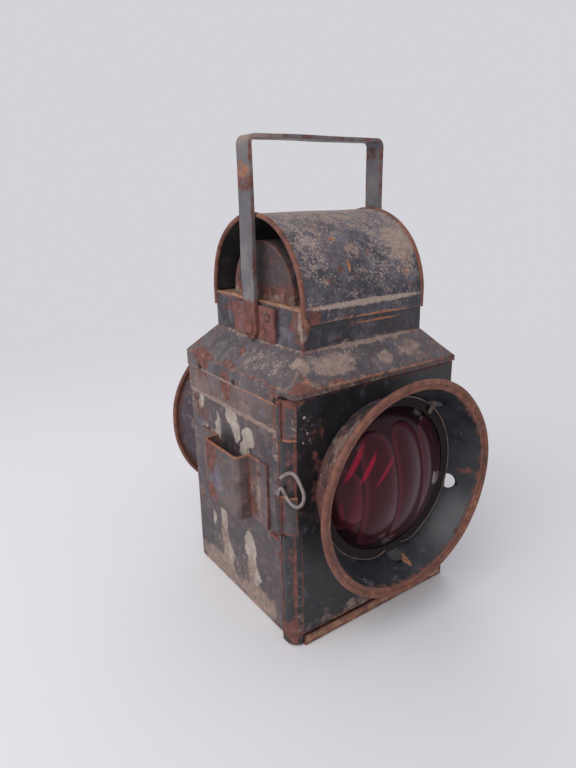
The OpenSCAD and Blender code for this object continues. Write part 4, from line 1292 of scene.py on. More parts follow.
@dataclass(frozen=True)
class SheetPiece:
    """One sheet-metal piece, worked up from its CAD solid.

    Attributes:
        node: The CAD node it stands for.
        finish: Its finish.
        pitch: How far apart in millimetres its faces are cut, so that they can be dented.
        edge: The width in millimetres of its broken edges.
        rounds: How many faces round off each edge.
        dent: How deep its dents are.
        worn: How far in millimetres wear reaches from an edge.
        cuts: Further planes that it is cut along, as an axis number and a place in millimetres.
        reshape: How a point is moved, where the real piece is bent or pressed further.
    """

    node: str
    finish: Finish
    pitch: float = 9.0
    edge: float = 0.22
    rounds: int = 1
    dent: float = 1.0
    worn: float = 2.4
    cuts: tuple[tuple[int, float], ...] = ()
    reshape: Callable[[Vector], Vector] | None = None

    def build(self) -> Object:
        """Copies the CAD solid, breaks its edges, dents it and marks where it is worn.

        Returns:
            The finished piece.
        """
        shape = bmesh.new()
        shape.from_mesh(frame["nodes"][self.node].data)
        bmesh.ops.remove_doubles(shape, verts=shape.verts[:], dist=SAME)
        bmesh.ops.dissolve_limit(
            shape, angle_limit=math.radians(1.0), verts=shape.verts[:], edges=shape.edges[:],
        )
        flag = shape.faces.layers.int.new("broken")
        sharp = [
            edge
            for edge in shape.edges
            if len(edge.link_faces) == 2 and edge.calc_face_angle(0.0) > math.radians(SHARP)
        ]
        beside = self._beside(sharp)
        made = bmesh.ops.bevel(
            shape, geom=sharp, offset=self.edge * MM, offset_type="OFFSET", segments=self.rounds,
            profile=0.5, affect="EDGES", clamp_overlap=True,
        )
        for face in made["faces"]:
            face[flag] = 1
        self._cut(shape, beside)
        self._mark_wear(shape, flag)
        for vert in shape.verts:
            point = self.reshape(vert.co) if self.reshape else vert.co
            vert.co = dented(point, self.dent)
        bmesh.ops.triangulate(shape, faces=[face for face in shape.faces if len(face.verts) > 4])
        shape.faces.layers.int.remove(flag)
        piece = put(self.node + "_skin", from_bmesh(self.node + "_skin", shape))
        piece.data.materials.clear()
        piece.data.materials.append(self.finish.material())
        return settle(piece, self.node)

    def _beside(self, sharp: Sequence[bmesh.types.BMEdge]) -> list[tuple[int, float]]:
        """Finds the planes that run beside the piece's long straight edges.

        Args:
            sharp: Its sharp edges.

        Returns:
            The planes, as an axis number and a place in metres.
        """
        runs: dict[tuple[int, int], float] = {}
        for edge in sharp:
            one, two = (vert.co for vert in edge.verts)
            for axis in range(3):
                if abs(one[axis] - two[axis]) < 0.02 * MM:
                    key = (axis, round(one[axis] / MM * 2))
                    runs[key] = runs.get(key, 0.0) + (one - two).length
        wear = self.worn * MM
        long = [(axis, at / 2 * MM) for (axis, at), run in sorted(runs.items()) if run > LONG_EDGE * MM]
        return [(axis, at + side * wear) for axis, at in long for side in (-1, 1)]

    def _cut(self, shape: bmesh.types.BMesh, beside: list[tuple[int, float]]) -> None:
        """Cuts the faces along planes a pitch apart, and beside the edges.

        Args:
            shape: The piece.
            beside: The planes beside its edges.
        """
        low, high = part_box(self.node)
        planes = [(axis, at * MM) for axis, at in self.cuts] + beside
        for axis in range(3):
            span = high[axis] - low[axis]
            if span < self.pitch * MM * 1.5:
                continue
            count = max(1, round(span / (self.pitch * MM)))
            planes += [(axis, low[axis] + span * (i + 0.37) / count) for i in range(count)]
        done: list[tuple[int, float]] = []
        for axis, at in planes:
            if any(axis == other and abs(at - place) < CLOSE * MM for other, place in done):
                continue
            done.append((axis, at))
            normal, where = [0.0, 0.0, 0.0], [0.0, 0.0, 0.0]
            normal[axis], where[axis] = 1.0, at
            bmesh.ops.bisect_plane(
                shape, geom=shape.verts[:] + shape.edges[:] + shape.faces[:], plane_co=where,
                plane_no=normal, dist=1e-6,
            )

    def _mark_wear(self, shape: bmesh.types.BMesh, flag: bmesh.types.BMLayerItem) -> None:
        """Writes how worn each point is, from its distance to the nearest broken edge.

        Args:
            shape: The piece.
            flag: The face layer that marks broken edges.
        """
        wear = shape.verts.layers.float.new("wear")
        edges = [vert for vert in shape.verts if any(face[flag] for face in vert.link_faces)]
        near = KDTree(max(1, len(edges)))
        for index, vert in enumerate(edges):
            near.insert(vert.co, index)
        near.balance()
        for vert in shape.verts:
            _, _, distance = near.find(vert.co) if edges else (None, None, 1.0)
            vert[wear] = max(0.0, 1.0 - distance / (self.worn * MM))


def smoothed(path: Sequence[Point], rounds: int) -> list[Point]:
    """Rounds a path's corners by cutting them, and keeps its ends.

    Args:
        path: The path's points.
        rounds: How often every corner is cut.

    Returns:
        The rounder path.
    """
    points = [Vector(point) for point in path]
    for _ in range(rounds):
        cut = [points[0]]
        for here, there in zip(points, points[1:]):
            cut += [here.lerp(there, 0.25), here.lerp(there, 0.75)]
        points = [*cut, points[-1]]
    return [tuple(point) for point in points]


def wire_piece(
    name: str, paths: Sequence[Sequence[Point]], radius: float, sides: int, finish: Finish,
    closed: bool = False,
) -> Object:
    """Runs a round wire or a rolled bead along paths.

    Args:
        name: The piece's name.
        paths: The paths' points, in millimetres.
        radius: The wire's radius, in millimetres.
        sides: How many sides it has.
        finish: Its finish.
        closed: Whether each path runs back to its start.

    Returns:
        The piece.
    """
    points: list[Point] = []
    edges: list[tuple[int, int]] = []
    for path in paths:
        first = len(points)
        points += [tuple(c * MM for c in point) for point in path]
        edges += [(first + i, first + i + 1) for i in range(len(path) - 1)]
        if closed:
            edges.append((len(points) - 1, first))
    mesh = bpy.data.meshes.new(name + "_path")
    mesh.from_pydata(points, edges, [])
    return grow(name, mesh, wire_tree(), radius=radius * MM, sides=sides, material=finish.material())


def rivet_points(name: str, places: Iterable[tuple[Point, Point]]) -> bpy.types.Mesh:
    """Makes a mesh of points, each with the direction its rivet head faces.

    Args:
        name: The mesh's name.
        places: For each rivet, where its head sits, in millimetres, and the way out.

    Returns:
        The mesh, in metres.
    """
    rows = list(places)
    mesh = bpy.data.meshes.new(name)
    mesh.from_pydata([tuple(c * MM for c in at) for at, _ in rows], [], [])
    out = mesh.attributes.new("out", "FLOAT_VECTOR", "POINT")
    for item, (_, way) in zip(out.data, rows):
        item.vector = way
    return mesh


def lathe(
    profile: Sequence[tuple[float, float]], spot: Callable[[float, float, float], Vector],
    steps: int = 192,
) -> bmesh.types.BMesh:
    """Turns a closed profile round an axis into a solid ring.

    Args:
        profile: The profile's radius and height pairs, in millimetres.
        spot: Turns a radius, an angle in radians and a height into a place in metres.
        steps: How many spans go round.

    Returns:
        The solid.
    """
    shape = bmesh.new()
    rings = [
        [shape.verts.new(spot(radius, math.tau * i / steps, height)) for i in range(steps)]
        for radius, height in profile
    ]
    for low, high in zip(rings, rings[1:] + rings[:1]):
        for i in range(steps):
            after = (i + 1) % steps
            shape.faces.new((low[i], low[after], high[after], high[i]))
    bmesh.ops.recalc_face_normals(shape, faces=shape.faces[:])
    return shape


def finer(profile: Sequence[tuple[float, float]], longest: float) -> list[tuple[float, float]]:
    """Splits a closed profile's long sides.

    Args:
        profile: The profile's points.
        longest: The longest side that may stay.

    Returns:
        The finer profile.
    """
    points: list[tuple[float, float]] = []
    for here, there in zip(profile, list(profile[1:]) + [profile[0]]):
        spans = max(1, math.ceil(math.dist(here, there) / longest))
        points += [tuple(a + (b - a) * i / spans for a, b in zip(here, there)) for i in range(spans)]
    return points


def loose_boxes(node: str) -> list[tuple[Vector, Vector]]:
    """Gives the box of each separate solid of a CAD node.

    Args:
        node: The CAD node.

    Returns:
        Lowest and highest corners, in metres, in a fixed order.
    """
    shape = bmesh.new()
    shape.from_mesh(frame["nodes"][node].data)
    bmesh.ops.remove_doubles(shape, verts=shape.verts[:], dist=SAME)
    left = set(shape.verts)
    boxes = []
    while left:
        group, queue = [], [left.pop()]
        while queue:
            vert = queue.pop()
            group.append(vert.co.copy())
            for edge in vert.link_edges:
                other = edge.other_vert(vert)
                if other in left:
                    left.remove(other)
                    queue.append(other)
        low = Vector(min(p[i] for p in group) for i in range(3))
        high = Vector(max(p[i] for p in group) for i in range(3))
        boxes.append((low, high))
    shape.free()
    return sorted(boxes, key=lambda pair: tuple(round(c, 5) for c in pair[0]))


@dataclass(frozen=True)
class RivetSet:
    """The rivets of one CAD node, all through a side wall along X.

    Attributes:
        node: The CAD node, whose solids give each rivet's place and length.
        head: The head's radius in millimetres.
        rise: The head's height.
        shank: The shank's radius.
        wobble: How far each head may lean, in radians.
        finish: The finish.
    """

    node: str
    head: float = 2.8
    rise: float = 1.2
    shank: float = 1.6
    wobble: float = 0.09
    finish: Finish = RIVET_IRON

    def build(self) -> Object:
        """Sets a domed rivet at each CAD rivet.

        Returns:
            The finished piece.
        """
        places: list[tuple[Point, Point]] = []
        grip = 0.0
        for low, high in loose_boxes(self.node):
            side = math.copysign(1.0, low.x + high.x)
            outer = max(abs(low.x), abs(high.x)) / MM - self.rise
            inner = min(abs(low.x), abs(high.x)) / MM + self.rise
            grip = outer - inner
            middle = (low + high) / 2 / MM
            places.append(((side * outer, middle.y, middle.z), (side, 0.0, 0.0)))
        piece = grow(
            self.node + "_skin", rivet_points(self.node + "_points", places), rivet_tree(),
            head_radius=self.head * MM, head_height=self.rise * MM, shank_radius=self.shank * MM,
            grip=grip * MM, wobble=self.wobble, seed=len(self.node), material=self.finish.material(),
        )
        return settle(piece, self.node)


@dataclass
class CaseShell:
    """The case: pan, four walls, the door frame and the rivets that hold them.

    Attributes:
        pitch: How far apart its walls are cut, in millimetres.
        wave: How deep its walls are dented.
    """

    pitch: float = 9.0
    wave: float = 1.0

    def build(self) -> None:
        """Builds the case."""
        for node, finish in (
            ("base_pan", PAN_STEEL), ("left_side_panel", WALL_PAINT), ("right_side_panel", CASE_PAINT),
            ("rear_panel", CASE_PAINT), ("door_frame", FRAME_PAINT),
        ):
            SheetPiece(node, finish, pitch=self.pitch, dent=self.wave).build()
        RivetSet("wall_rivets").build()


@dataclass
class RoofAndCowl:
    """Everything above the walls: lap band, roof, neck, deck, cowl and baffle.

    Attributes:
        ledge: The height of the cowl's dusty step, in millimetres.
        step: How far the sheet stands out below it.
        axis_z: The height of the barrel's axis.
        middle_r: The radius of the barrel's sheet.
        bead_x: How far out the rolled edges are.
        bead_r: Their radius.
        foot: The height of the barrel's lower edge.
        deck: The height of the smoke deck's upper face.
        feet: The height of the baffle's feet above it.
        drawn: The height above the deck up to which the baffle's edge is drawn down.
        shown: How much of the feet's height still shows below that edge.
        straight: How far the barrel's rolled ends run straight up from its lower edge.
        lip: How far out the deck's turned lip is, how long each half of it is, and its height.
        lip_r: The lip's radius.
        tab: The torn tab's corners, as places across and up.
        tab_y: How far forward the tab starts.
        tab_t: The thickness of its sheet.
    """

    ledge: float = 274.3
    step: float = 0.9
    axis_z: float = 274.3
    middle_r: float = 65.55
    bead_x: float = 61.5
    bead_r: float = 2.0
    foot: float = 262.0
    deck: float = 273.0
    feet: float = 3.0
    drawn: float = 5.0
    shown: float = 0.1
    straight: float = 6.0
    lip: Point = (61.2, 62.5, 273.2)
    lip_r: float = 1.0
    tab: tuple[tuple[float, float], ...] = (
        (-62.8, 269.0), (-56.5, 261.0), (-59.6, 254.0), (-63.0, 261.0),
    )
    tab_y: float = -67.2
    tab_t: float = 0.5

    def build(self) -> None:
        """Builds the roof, the neck and the cowl."""
        SheetPiece("roof_skirt_band", BAND_PAINT, edge=0.15).build()
        SheetPiece("roof", ROOF_PAINT, pitch=8.0, edge=0.15, dent=THIN_DENT).build()
        SheetPiece("neck", NECK_PAINT, pitch=8.0, dent=THIN_DENT).build()
        SheetPiece("smoke_deck", DECK_STEEL, dent=THIN_DENT).build()
        SheetPiece("flue_ring", SMOKED_STEEL, pitch=UNCUT, dent=THIN_DENT).build()
        SheetPiece("smoke_baffle", BAFFLE_STEEL, dent=THIN_DENT, reshape=self._seat).build()
        RivetSet("roof_rivets", finish=ROOF_RIVET_IRON).build()
        self._barrel()
        self._beads()
        self._lip()
        self._tab()

    def _seat(self, point: Vector) -> Vector:
        """Draws the baffle's lower edge down over its feet, so that it meets the deck.

        Args:
            point: A point of the baffle, in metres.

        Returns:
            The moved point.
        """
        rise = point.z / MM - self.deck
        gap = self.shown * self.feet
        slope = (self.drawn - gap) / (self.drawn - self.feet)
        lower = self.shown * rise if rise < self.feet else gap + slope * (rise - self.feet)
        return Vector((point.x, point.y, (self.deck + min(rise, lower)) * MM))

    def _press(self, point: Vector) -> Vector:
        """Steps the barrel's sheet out below its ledge.

        Args:
            point: A point of the barrel, in metres.

        Returns:
            The moved point.
        """
        below = point.z < (self.ledge - 0.1) * MM
        side = math.copysign(1.0, point.y)
        return point + Vector((0.0, side * self.step * MM * below, 0.0))

    def _barrel(self) -> None:
        """Works up the barrel, with soot inside."""
        cuts = ((2, self.ledge - 0.7), (2, self.ledge + 0.1))
        piece = SheetPiece(
            "cowl_barrel", COWL_PAINT, pitch=7.0, edge=0.2, dent=THIN_DENT, cuts=cuts,
            reshape=self._press,
        ).build()
        piece.data.materials.append(COWL_INSIDE.material())
        for face in piece.data.polygons:
            up = max(0.0, face.center.z - self.axis_z * MM)
            out = Vector((0.0, face.center.y, up))
            if face.normal.dot(out) < -0.2 * out.length:
                face.material_index = 1

    def _beads(self) -> None:
        """Rolls the two end edges of the barrel."""
        paths = []
        for side in (-1, 1):
            x = side * self.bead_x
            turns = [math.radians(180.0 * i / 96) for i in range(97)]
            arch = [
                (x, self.middle_r * math.cos(turn), self.axis_z + self.middle_r * math.sin(turn))
                for turn in turns
            ]
            top = self.foot + self.straight
            low = [(x, self.middle_r, self.foot), (x, self.middle_r, top)]
            end = [(x, -self.middle_r, top), (x, -self.middle_r, self.foot)]
            paths.append([shift(p, THIN_DENT) for p in low + arch + end])
        settle(wire_piece("cowl_end_beads_skin", paths, self.bead_r, 14, RIM_STEEL), "cowl_end_beads")

    def _lip(self) -> None:
        """Turns up the ragged tan lip of the deck at its open ends."""
        out, half, height = self.lip
        paths = []
        for side in (-1, 1):
            path = []
            for i in range(61):
                y = -half + 2 * half * i / 60
                x = side * (out + 0.7 * noise.noise(Vector((y / 9, side, 0.0))))
                path.append((x, y, height + 0.9 * noise.noise(Vector((y / 14, 4.0, side)))))
            paths.append(path)
        piece = wire_piece("deck_turned_lip", paths, self.lip_r, 10, DECK_STEEL)
        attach(piece, BODY_OF["smoke_deck"])

    def _tab(self) -> None:
        """Bends out the torn tab of sheet at the cowl's front left corner."""
        high_left, high_right, low_right, low_left = self.tab
        shape = bmesh.new()
        rows, span = [], 8
        for i in range(span + 1):
            row = []
            for j in range(span + 1):
                u, v = i / span, j / span
                top = [a + (b - a) * u for a, b in zip(high_left, high_right)]
                low = [a + (b - a) * u for a, b in zip(low_left, low_right)]
                x, z = (a + (b - a) * v for a, b in zip(top, low))
                curl = 1.6 * math.sin(math.pi * u) + 0.9 * v
                torn = 0.8 * noise.noise(Vector((x / 2, z / 2, 0.0)))
                row.append(shape.verts.new(Vector((x + torn, self.tab_y - curl, z + torn)) * MM))
            rows.append(row)
        for one, two in zip(rows, rows[1:]):
            for a, b, c, d in zip(one, one[1:], two[1:], two):
                shape.faces.new((a, b, c, d))
        bmesh.ops.recalc_face_normals(shape, faces=shape.faces[:])
        piece = put("neck_torn_tab", from_bmesh("neck_torn_tab", shape))
        piece.data.materials.append(RIM_STEEL.material())
        thick = piece.modifiers.new("thickness", "SOLIDIFY")
        thick.thickness, thick.offset = self.tab_t * MM, 0.0
        freeze(piece)
        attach(piece, BODY_OF["neck"])


@dataclass
class CarryHandle:
    """The bail handle with its brackets and pivots.

    Attributes:
        edge: How far the strap's edges are rounded, in millimetres.
    """

    edge: float = 0.7

    def build(self) -> None:
        """Builds the handle."""
        SheetPiece("handle", HANDLE_STEEL, edge=self.edge, rounds=3).build()
        SheetPiece("handle_brackets", BRACKET_IRON, pitch=7.0, edge=0.4, rounds=2, dent=THIN_DENT).build()
        RivetSet("bracket_rivets", head=3.0, rise=0.4, finish=BRACKET_RIVET_IRON).build()
        RivetSet(
            "handle_pivot_rivets", head=5.0, rise=2.0, shank=2.5, wobble=0.03, finish=BRACKET_IRON,
        ).build()


@dataclass
class LampIronSocket:
    """The folded socket on the left wall, which drops over a lamp iron.

    Attributes:
        edge: How far its edges are rounded, in millimetres.
    """

    edge: float = 0.35

    def build(self) -> None:
        """Builds the socket and its rivets."""
        SheetPiece("lamp_iron_socket", SOCKET_PAINT, pitch=6.0, edge=self.edge, rounds=2).build()
        RivetSet("socket_rivets", wobble=0.14).build()


class End(Enum):
    """Which way a hooded lens looks."""

    FRONT = "front"
    REAR = "rear"


@dataclass
class HoodedLens:
    """A flared hood with its rolled rim, lens, seat, gasket, spring and clip.

    Lengths are in millimetres. Heights run outward from the panel that carries the hood.

    Attributes:
        end: Which way it looks.
        face: How far the panel is from the middle.
        lens_z: The height of the lens axis.
        open_r: The radius of the opening in the panel.
        root_r: The hood's outer radius at the panel.
        mouth_r: Its inner radius at the mouth.
        rim_mid: The radius of the rolled edge's middle.
        rim_bead: The rolled edge's own radius.
        length: How far the hood stands out.
        sheet: The thickness of its sheet.
        glass_r: The glass's outer radius.
        glass_h: The height of the glass's back.
        glass_t: The thickness of its rim.
        dome_base: The dome's outer radius.
        dome_rise: Its height.
        dome_in: The hollow's radius.
        spring_h: The height of the spring wire.
        spring_r: The wire's radius.
        spring_gap: How far the wire stays off the hood.
        hole_r: The radius of a clip hole.
        hole_h: The height of the clip holes.
        hole_span: The radii between which a hole's cutter runs.
        holes: Their angles in degrees.
        spring_start: Where the wire starts, in degrees.
        spring_sweep: How far it runs round.
        spring_curl: How far its ends bend inward.
        worn: How far in from the mouth its paint is worn.
        flutes: The flutes of the glass.
    """

    end: End
    face: float = 84.0
    lens_z: float = 132.0
    open_r: float = 60.0
    root_r: float = 66.0
    mouth_r: float = 82.0
    rim_mid: float = 87.7
    rim_bead: float = 2.3
    length: float = 39.2
    sheet: float = 1.0
    glass_r: float = 68.25
    glass_h: float = 9.1
    glass_t: float = 3.0
    dome_base: float = 61.75
    dome_rise: float = 23.0
    dome_in: float = 58.0
    spring_h: float = 13.55
    spring_r: float = 0.7
    spring_gap: float = 0.3
    hole_r: float = 6.2
    hole_h: float = 15.8
    hole_span: tuple[float, float] = (58.0, 90.0)
    holes: tuple[float, ...] = (-85.0, -17.5, 50.0)
    spring_start: float = -77.0
    spring_sweep: float = 344.0
    spring_curl: float = 4.5
    worn: float = 6.0
    flutes: Flutes = Flutes()

    @property
    def name(self) -> str:
        """Gives the name of the end, with which its pieces' names start."""
        return self.end.value

    @property
    def side(self) -> float:
        """Gives 1 for the front and -1 for the rear."""
        return 1.0 if self.end is End.FRONT else -1.0

    def cone(self, height: float) -> float:
        """Gives the inner radius of the hood at a height."""
        root = self.root_r - self.sheet
        return root + (self.mouth_r - root) * height / self.length

    def spot(self, radius: float, angle: float, height: float) -> Vector:
        """Gives the place in metres for a radius, an angle in radians and a height."""
        x, up = radius * math.cos(angle), radius * math.sin(angle)
        return Vector((self.side * x, -self.side * (self.face + height), self.lens_z + up)) * MM

    def around(self, point: Vector) -> tuple[float, float]:
        """Gives the radius and the height of a place in metres, in millimetres."""
        return (math.hypot(point.x / MM, point.z / MM - self.lens_z), abs(point.y) / MM - self.face)

    def build(self) -> None:
        """Builds the hood and everything in it."""
        self._hood()
        self._rim()
        SheetPiece(self.name + "_lens_seat", SMOKED_STEEL, pitch=UNCUT).build()
        SheetPiece(self.name + "_lens_gasket", GASKET_RUBBER, pitch=UNCUT).build()
        self._lens()
        self._spring()
        if self.end is End.FRONT:
            SheetPiece("front_lens_clip", FITTING_STEEL, pitch=5.0, edge=0.2, rounds=2).build()

    def _hood(self) -> None:
        """Turns the hood and cuts its clip holes."""
        top = self.length - self.sheet
        profile = [
            (self.open_r, 0.0), (self.root_r - 0.6, 0.0), (self.root_r, 0.6),
            (self.mouth_r + self.sheet - 0.5, top - 1.0), (self.mouth_r + self.sheet + 0.6, top),
            (self.rim_mid, top), (self.rim_mid, self.length), (self.mouth_r + 1.0, self.length),
            (self.mouth_r - 0.2, self.length - 0.6), (self.cone(self.sheet), self.sheet),
            (self.open_r, self.sheet),
        ]
        shape = lathe(finer(profile, 4.0), self.spot, 216)
        node = self.name + "_hood"
        piece = put(node + "_skin", from_bmesh(node + "_skin", shape))
        cutters = [self._hole(angle) for angle in self.holes]
        for cutter in cutters:
            cut = piece.modifiers.new("hole", "BOOLEAN")
            cut.operation, cut.object, cut.solver = "DIFFERENCE", cutter, "EXACT"
        freeze(piece)
        for cutter in cutters:
            bpy.data.objects.remove(cutter)
        self._dress_hood(piece)
        settle(piece, node)

    def _hole(self, angle: float) -> Object:
        """Makes the cutter for one clip hole.

        Args:
            angle: Where it is, in degrees.

        Returns:
            The cutter.
        """
        turn = math.radians(angle)
        start, end = (self.spot(radius, turn, self.hole_h) for radius in self.hole_span)
        shape = bmesh.new()
        way = (end - start).to_track_quat("Z", "Y").to_matrix().to_4x4()
        bmesh.ops.create_cone(
            shape, cap_ends=True, segments=40, radius1=self.hole_r * MM, radius2=self.hole_r * MM,
            depth=(end - start).length, matrix=Matrix.Translation((start + end) / 2) @ way,
        )
        return put("clip_hole", from_bmesh("clip_hole", shape))

    def _dress_hood(self, piece: Object) -> None:
        """Paints the hood's two faces and its rim, dents it and marks its wear.

        Args:
            piece: The hood.
        """
        outside = HOOD_OUTSIDE if self.end is End.FRONT else REAR_HOOD_PAINT
        mesh = piece.data
        mesh.materials.clear()
        for finish in (outside, HOOD_INSIDE, RIM_STEEL):
            mesh.materials.append(finish.material())
        axis = Vector((0.0, 0.0, self.lens_z * MM))
        for face in mesh.polygons:
            radius, height = self.around(face.center)
            away = face.center - axis
            away.y = 0.0
            at_rim = height > self.length - 1.4 and radius > self.mouth_r - 0.6
            inside = face.normal.dot(away) < 0 or height < 1.5
            face.material_index = 2 if at_rim else 1 if inside else 0
        wear = mesh.attributes.new("wear", "FLOAT", "POINT")
        for vert, item in zip(mesh.vertices, wear.data):
            radius, height = self.around(vert.co)
            item.value = max(0.0, 1.0 - (self.length - height) / self.worn)
            vert.co = dented(vert.co, HOOD_DENT)

    def _rim(self) -> None:
        """Rolls the closed round edge of the mouth."""
        turns = [math.tau * i / 180 for i in range(180)]
        places = [self.spot(self.rim_mid, turn, self.length - 0.5) for turn in turns]
        path = [tuple(dented(place, HOOD_DENT) / MM) for place in places]
        node = self.name + "_hood_rim"
        settle(wire_piece(node + "_skin", [path], self.rim_bead, 16, RIM_STEEL, closed=True), node)

    def _spring(self) -> None:
        """Bends the split spring wire that holds the glass."""
        radius = self.cone(self.spring_h) - self.spring_r - self.spring_gap
        path = []
        for i in range(150):
            share = i / 149
            angle = math.radians(self.spring_start + self.spring_sweep * share)
            curl = self.spring_curl * max(0.0, (abs(share - 0.5) - 0.46) / 0.04) ** 2
            path.append(tuple(self.spot(radius - curl, angle, self.spring_h) / MM))
        node = self.name + "_lens_spring"
        settle(wire_piece(node + "_skin", [path], self.spring_r, 12, FITTING_STEEL), node)

    def _lens(self) -> None:
        """Turns the glass and raises the flutes on its inner face."""
        outer = (self.dome_base**2 + self.dome_rise**2) / (2 * self.dome_rise)
        rise = self.dome_rise - 0.5
        inner = (self.dome_in**2 + rise**2) / (2 * rise)
        front = self.glass_h + self.glass_t
        dome = [(self.dome_base * i / 26, front + self.dome_rise - outer) for i in range(1, 27)]
        rows = [(r, low + math.sqrt(outer**2 - r**2), 0.0) for r, low in dome]
        rows += [
            (self.glass_r - 0.6, front, 0.0), (self.glass_r, front - 0.6, 0.0),
            (self.glass_r, self.glass_h + 0.6, 0.0), (self.glass_r - 0.6, self.glass_h, 0.0),
            (self.dome_in, self.glass_h, 0.0),
        ]
        base = self.glass_h + rise - inner
        for i in range(1, 56):
            r = self.dome_in * (1 - i / 56)
            rows.append((r, base + math.sqrt(inner**2 - r**2), 1.0))
        shape = bmesh.new()
        inside = shape.verts.layers.float.new("inner")
        steps, rings = 240, []
        for radius, height, share in rows:
            ring = [
                shape.verts.new(self.spot(radius, math.tau * i / steps, height))
                for i in range(steps)
            ]
            for vert in ring:
                vert[inside] = share
            rings.append(ring)
        for low, high in zip(rings, rings[1:]):
            for i in range(steps):
                after = (i + 1) % steps
                shape.faces.new((low[i], low[after], high[after], high[i]))
        crown = shape.verts.new(self.spot(0.0, 0.0, front + self.dome_rise))
        hollow = shape.verts.new(self.spot(0.0, 0.0, self.glass_h + rise))
        hollow[inside] = 1.0
        for i in range(steps):
            after = (i + 1) % steps
            shape.faces.new((rings[0][i], rings[0][after], crown))
            shape.faces.new((rings[-1][i], rings[-1][after], hollow))
        bmesh.ops.recalc_face_normals(shape, faces=shape.faces[:])
        glass = RUBY_GLASS if self.end is End.FRONT else CLEAR_GLASS
        node = self.name + "_lens"
        piece = grow(
            node + "_skin", from_bmesh(node + "_blank", shape), flute_tree(), **asdict(self.flutes),
            inward=(0.0, self.side, 0.0), material=glass.material(self.flutes),
        )
        settle(piece, node)


@dataclass
class Door:
    """The lens door with its strap, hasp, keeper and the ringed pin.

    Attributes:
        pin: The pin's place across, in millimetres.
        foot: The height of its lower end.
        ring: The middle of its ring.
        ring_turn: Which way the ring points, in degrees.
        bend: The ring's wire from its free end, as steps along that way and up.
        wire_r: The wire's radius.
    """

    pin: tuple[float, float] = (-92.9, -72.8)
    foot: float = 98.0
    ring: Point = (-90.64, -85.6, 148.0)
    ring_turn: float = -80.0
    bend: tuple[tuple[float, float], ...] = (
        (-9.6, 5.3), (-6.0, 8.6), (-2.9, 11.1), (0.2, 12.6), (3.6, 13.0), (6.5, 11.9), (9.0, 9.0),
        (11.4, 5.5), (13.4, 2.2), (14.4, -1.4), (13.7, -5.8), (11.5, -9.6), (8.5, -12.4), (5.1, -13.5),
        (1.2, -12.9), (-2.2, -10.7), (-4.8, -8.2), (-6.7, -5.4), (-8.6, -3.1), (-10.9, -4.2),
        (-12.3, -6.8), (-12.9, -10.1),
    )
    wire_r: float = 1.4

    def build(self) -> None:
        """Builds the door and its fastening."""
        SheetPiece("door_panel", DOOR_PAINT, pitch=8.0, edge=0.25).build()
        SheetPiece("upper_corner_strap", HASP_PAINT, pitch=6.0, edge=0.3, rounds=2).build()
        SheetPiece("hasp", HASP_PAINT, pitch=6.0, edge=0.3, rounds=2).build()
        SheetPiece("door_keeper", FRAME_PAINT, pitch=UNCUT, edge=0.2).build()
        self._pin()

    def _pin(self) -> None:
        """Bends the pin's wire: a straight leg and an open ring."""
        turn = math.radians(self.ring_turn)
        x, y = self.pin
        loop = [
            (self.ring[0] + a * math.cos(turn), self.ring[1] + a * math.sin(turn), self.ring[2] + b)
            for a, b in self.bend
        ]
        low, high = self.foot, loop[-1][2] - 3.0
        leg = [(x, y, high + (low - high) * i / 12) for i in range(13)]
        wire = smoothed(loop + leg, 3)
        settle(wire_piece("hasp_pin_skin", [wire], self.wire_r, 14, PIN_WIRE), "hasp_pin")


@dataclass
class Hinges:
    """The two door hinges on the right wall.

    Attributes:
        edge: How far their edges are broken, in millimetres.
    """

    edge: float = 0.25

    def build(self) -> None:
        """Builds the hinges and their rivets."""
        for node in ("hinge_case_leaves", "hinge_door_leaves", "hinge_pins"):
            SheetPiece(node, FRAME_PAINT, pitch=UNCUT, edge=self.edge, dent=0.0).build()
        RivetSet("hinge_case_rivets").build()
        RivetSet("hinge_door_rivets").build()


@dataclass
class BurnerSet:
    """The oil fount, the burner, the wick and its winder.

    Attributes:
        edge: How far their edges are broken, in millimetres.
    """

    edge: float = 0.2

    def build(self) -> None:
        """Builds the fount and the burner from their solids."""
        for node, finish in (
            ("oil_fount", TINPLATE), ("fount_locator", SMOKED_STEEL), ("burner_collar", BURNER_BRASS),
            ("burner_body", BURNER_BRASS), ("burner_dome", BURNER_BRASS), ("wick_tube", BURNER_BRASS),
            ("wick", WICK_COTTON), ("wick_spindle", BURNER_BRASS), ("wick_knob", BURNER_BRASS),
            ("filler_neck", TINPLATE), ("filler_cap", BURNER_BRASS),
        ):
            SheetPiece(node, finish, pitch=UNCUT, edge=self.edge, dent=0.0).build()


def seen_ray(tree: Tree) -> Source:
    """Adds what tells whether a ray sees the background, straight, in gloss or through glass.

    Args:
        tree: The node tree of the floor or the world.

    Returns:
        1 for such a ray, else 0.
    """
    path = add_node(tree, "ShaderNodeLightPath")
    seen = path.outputs["Is Camera Ray"]
    for kind in ("Is Glossy Ray", "Is Transmission Ray"):
        inputs = {0: seen, 1: path.outputs[kind]}
        seen = add_node(tree, "ShaderNodeMath", inputs, operation="MAXIMUM")
    return seen


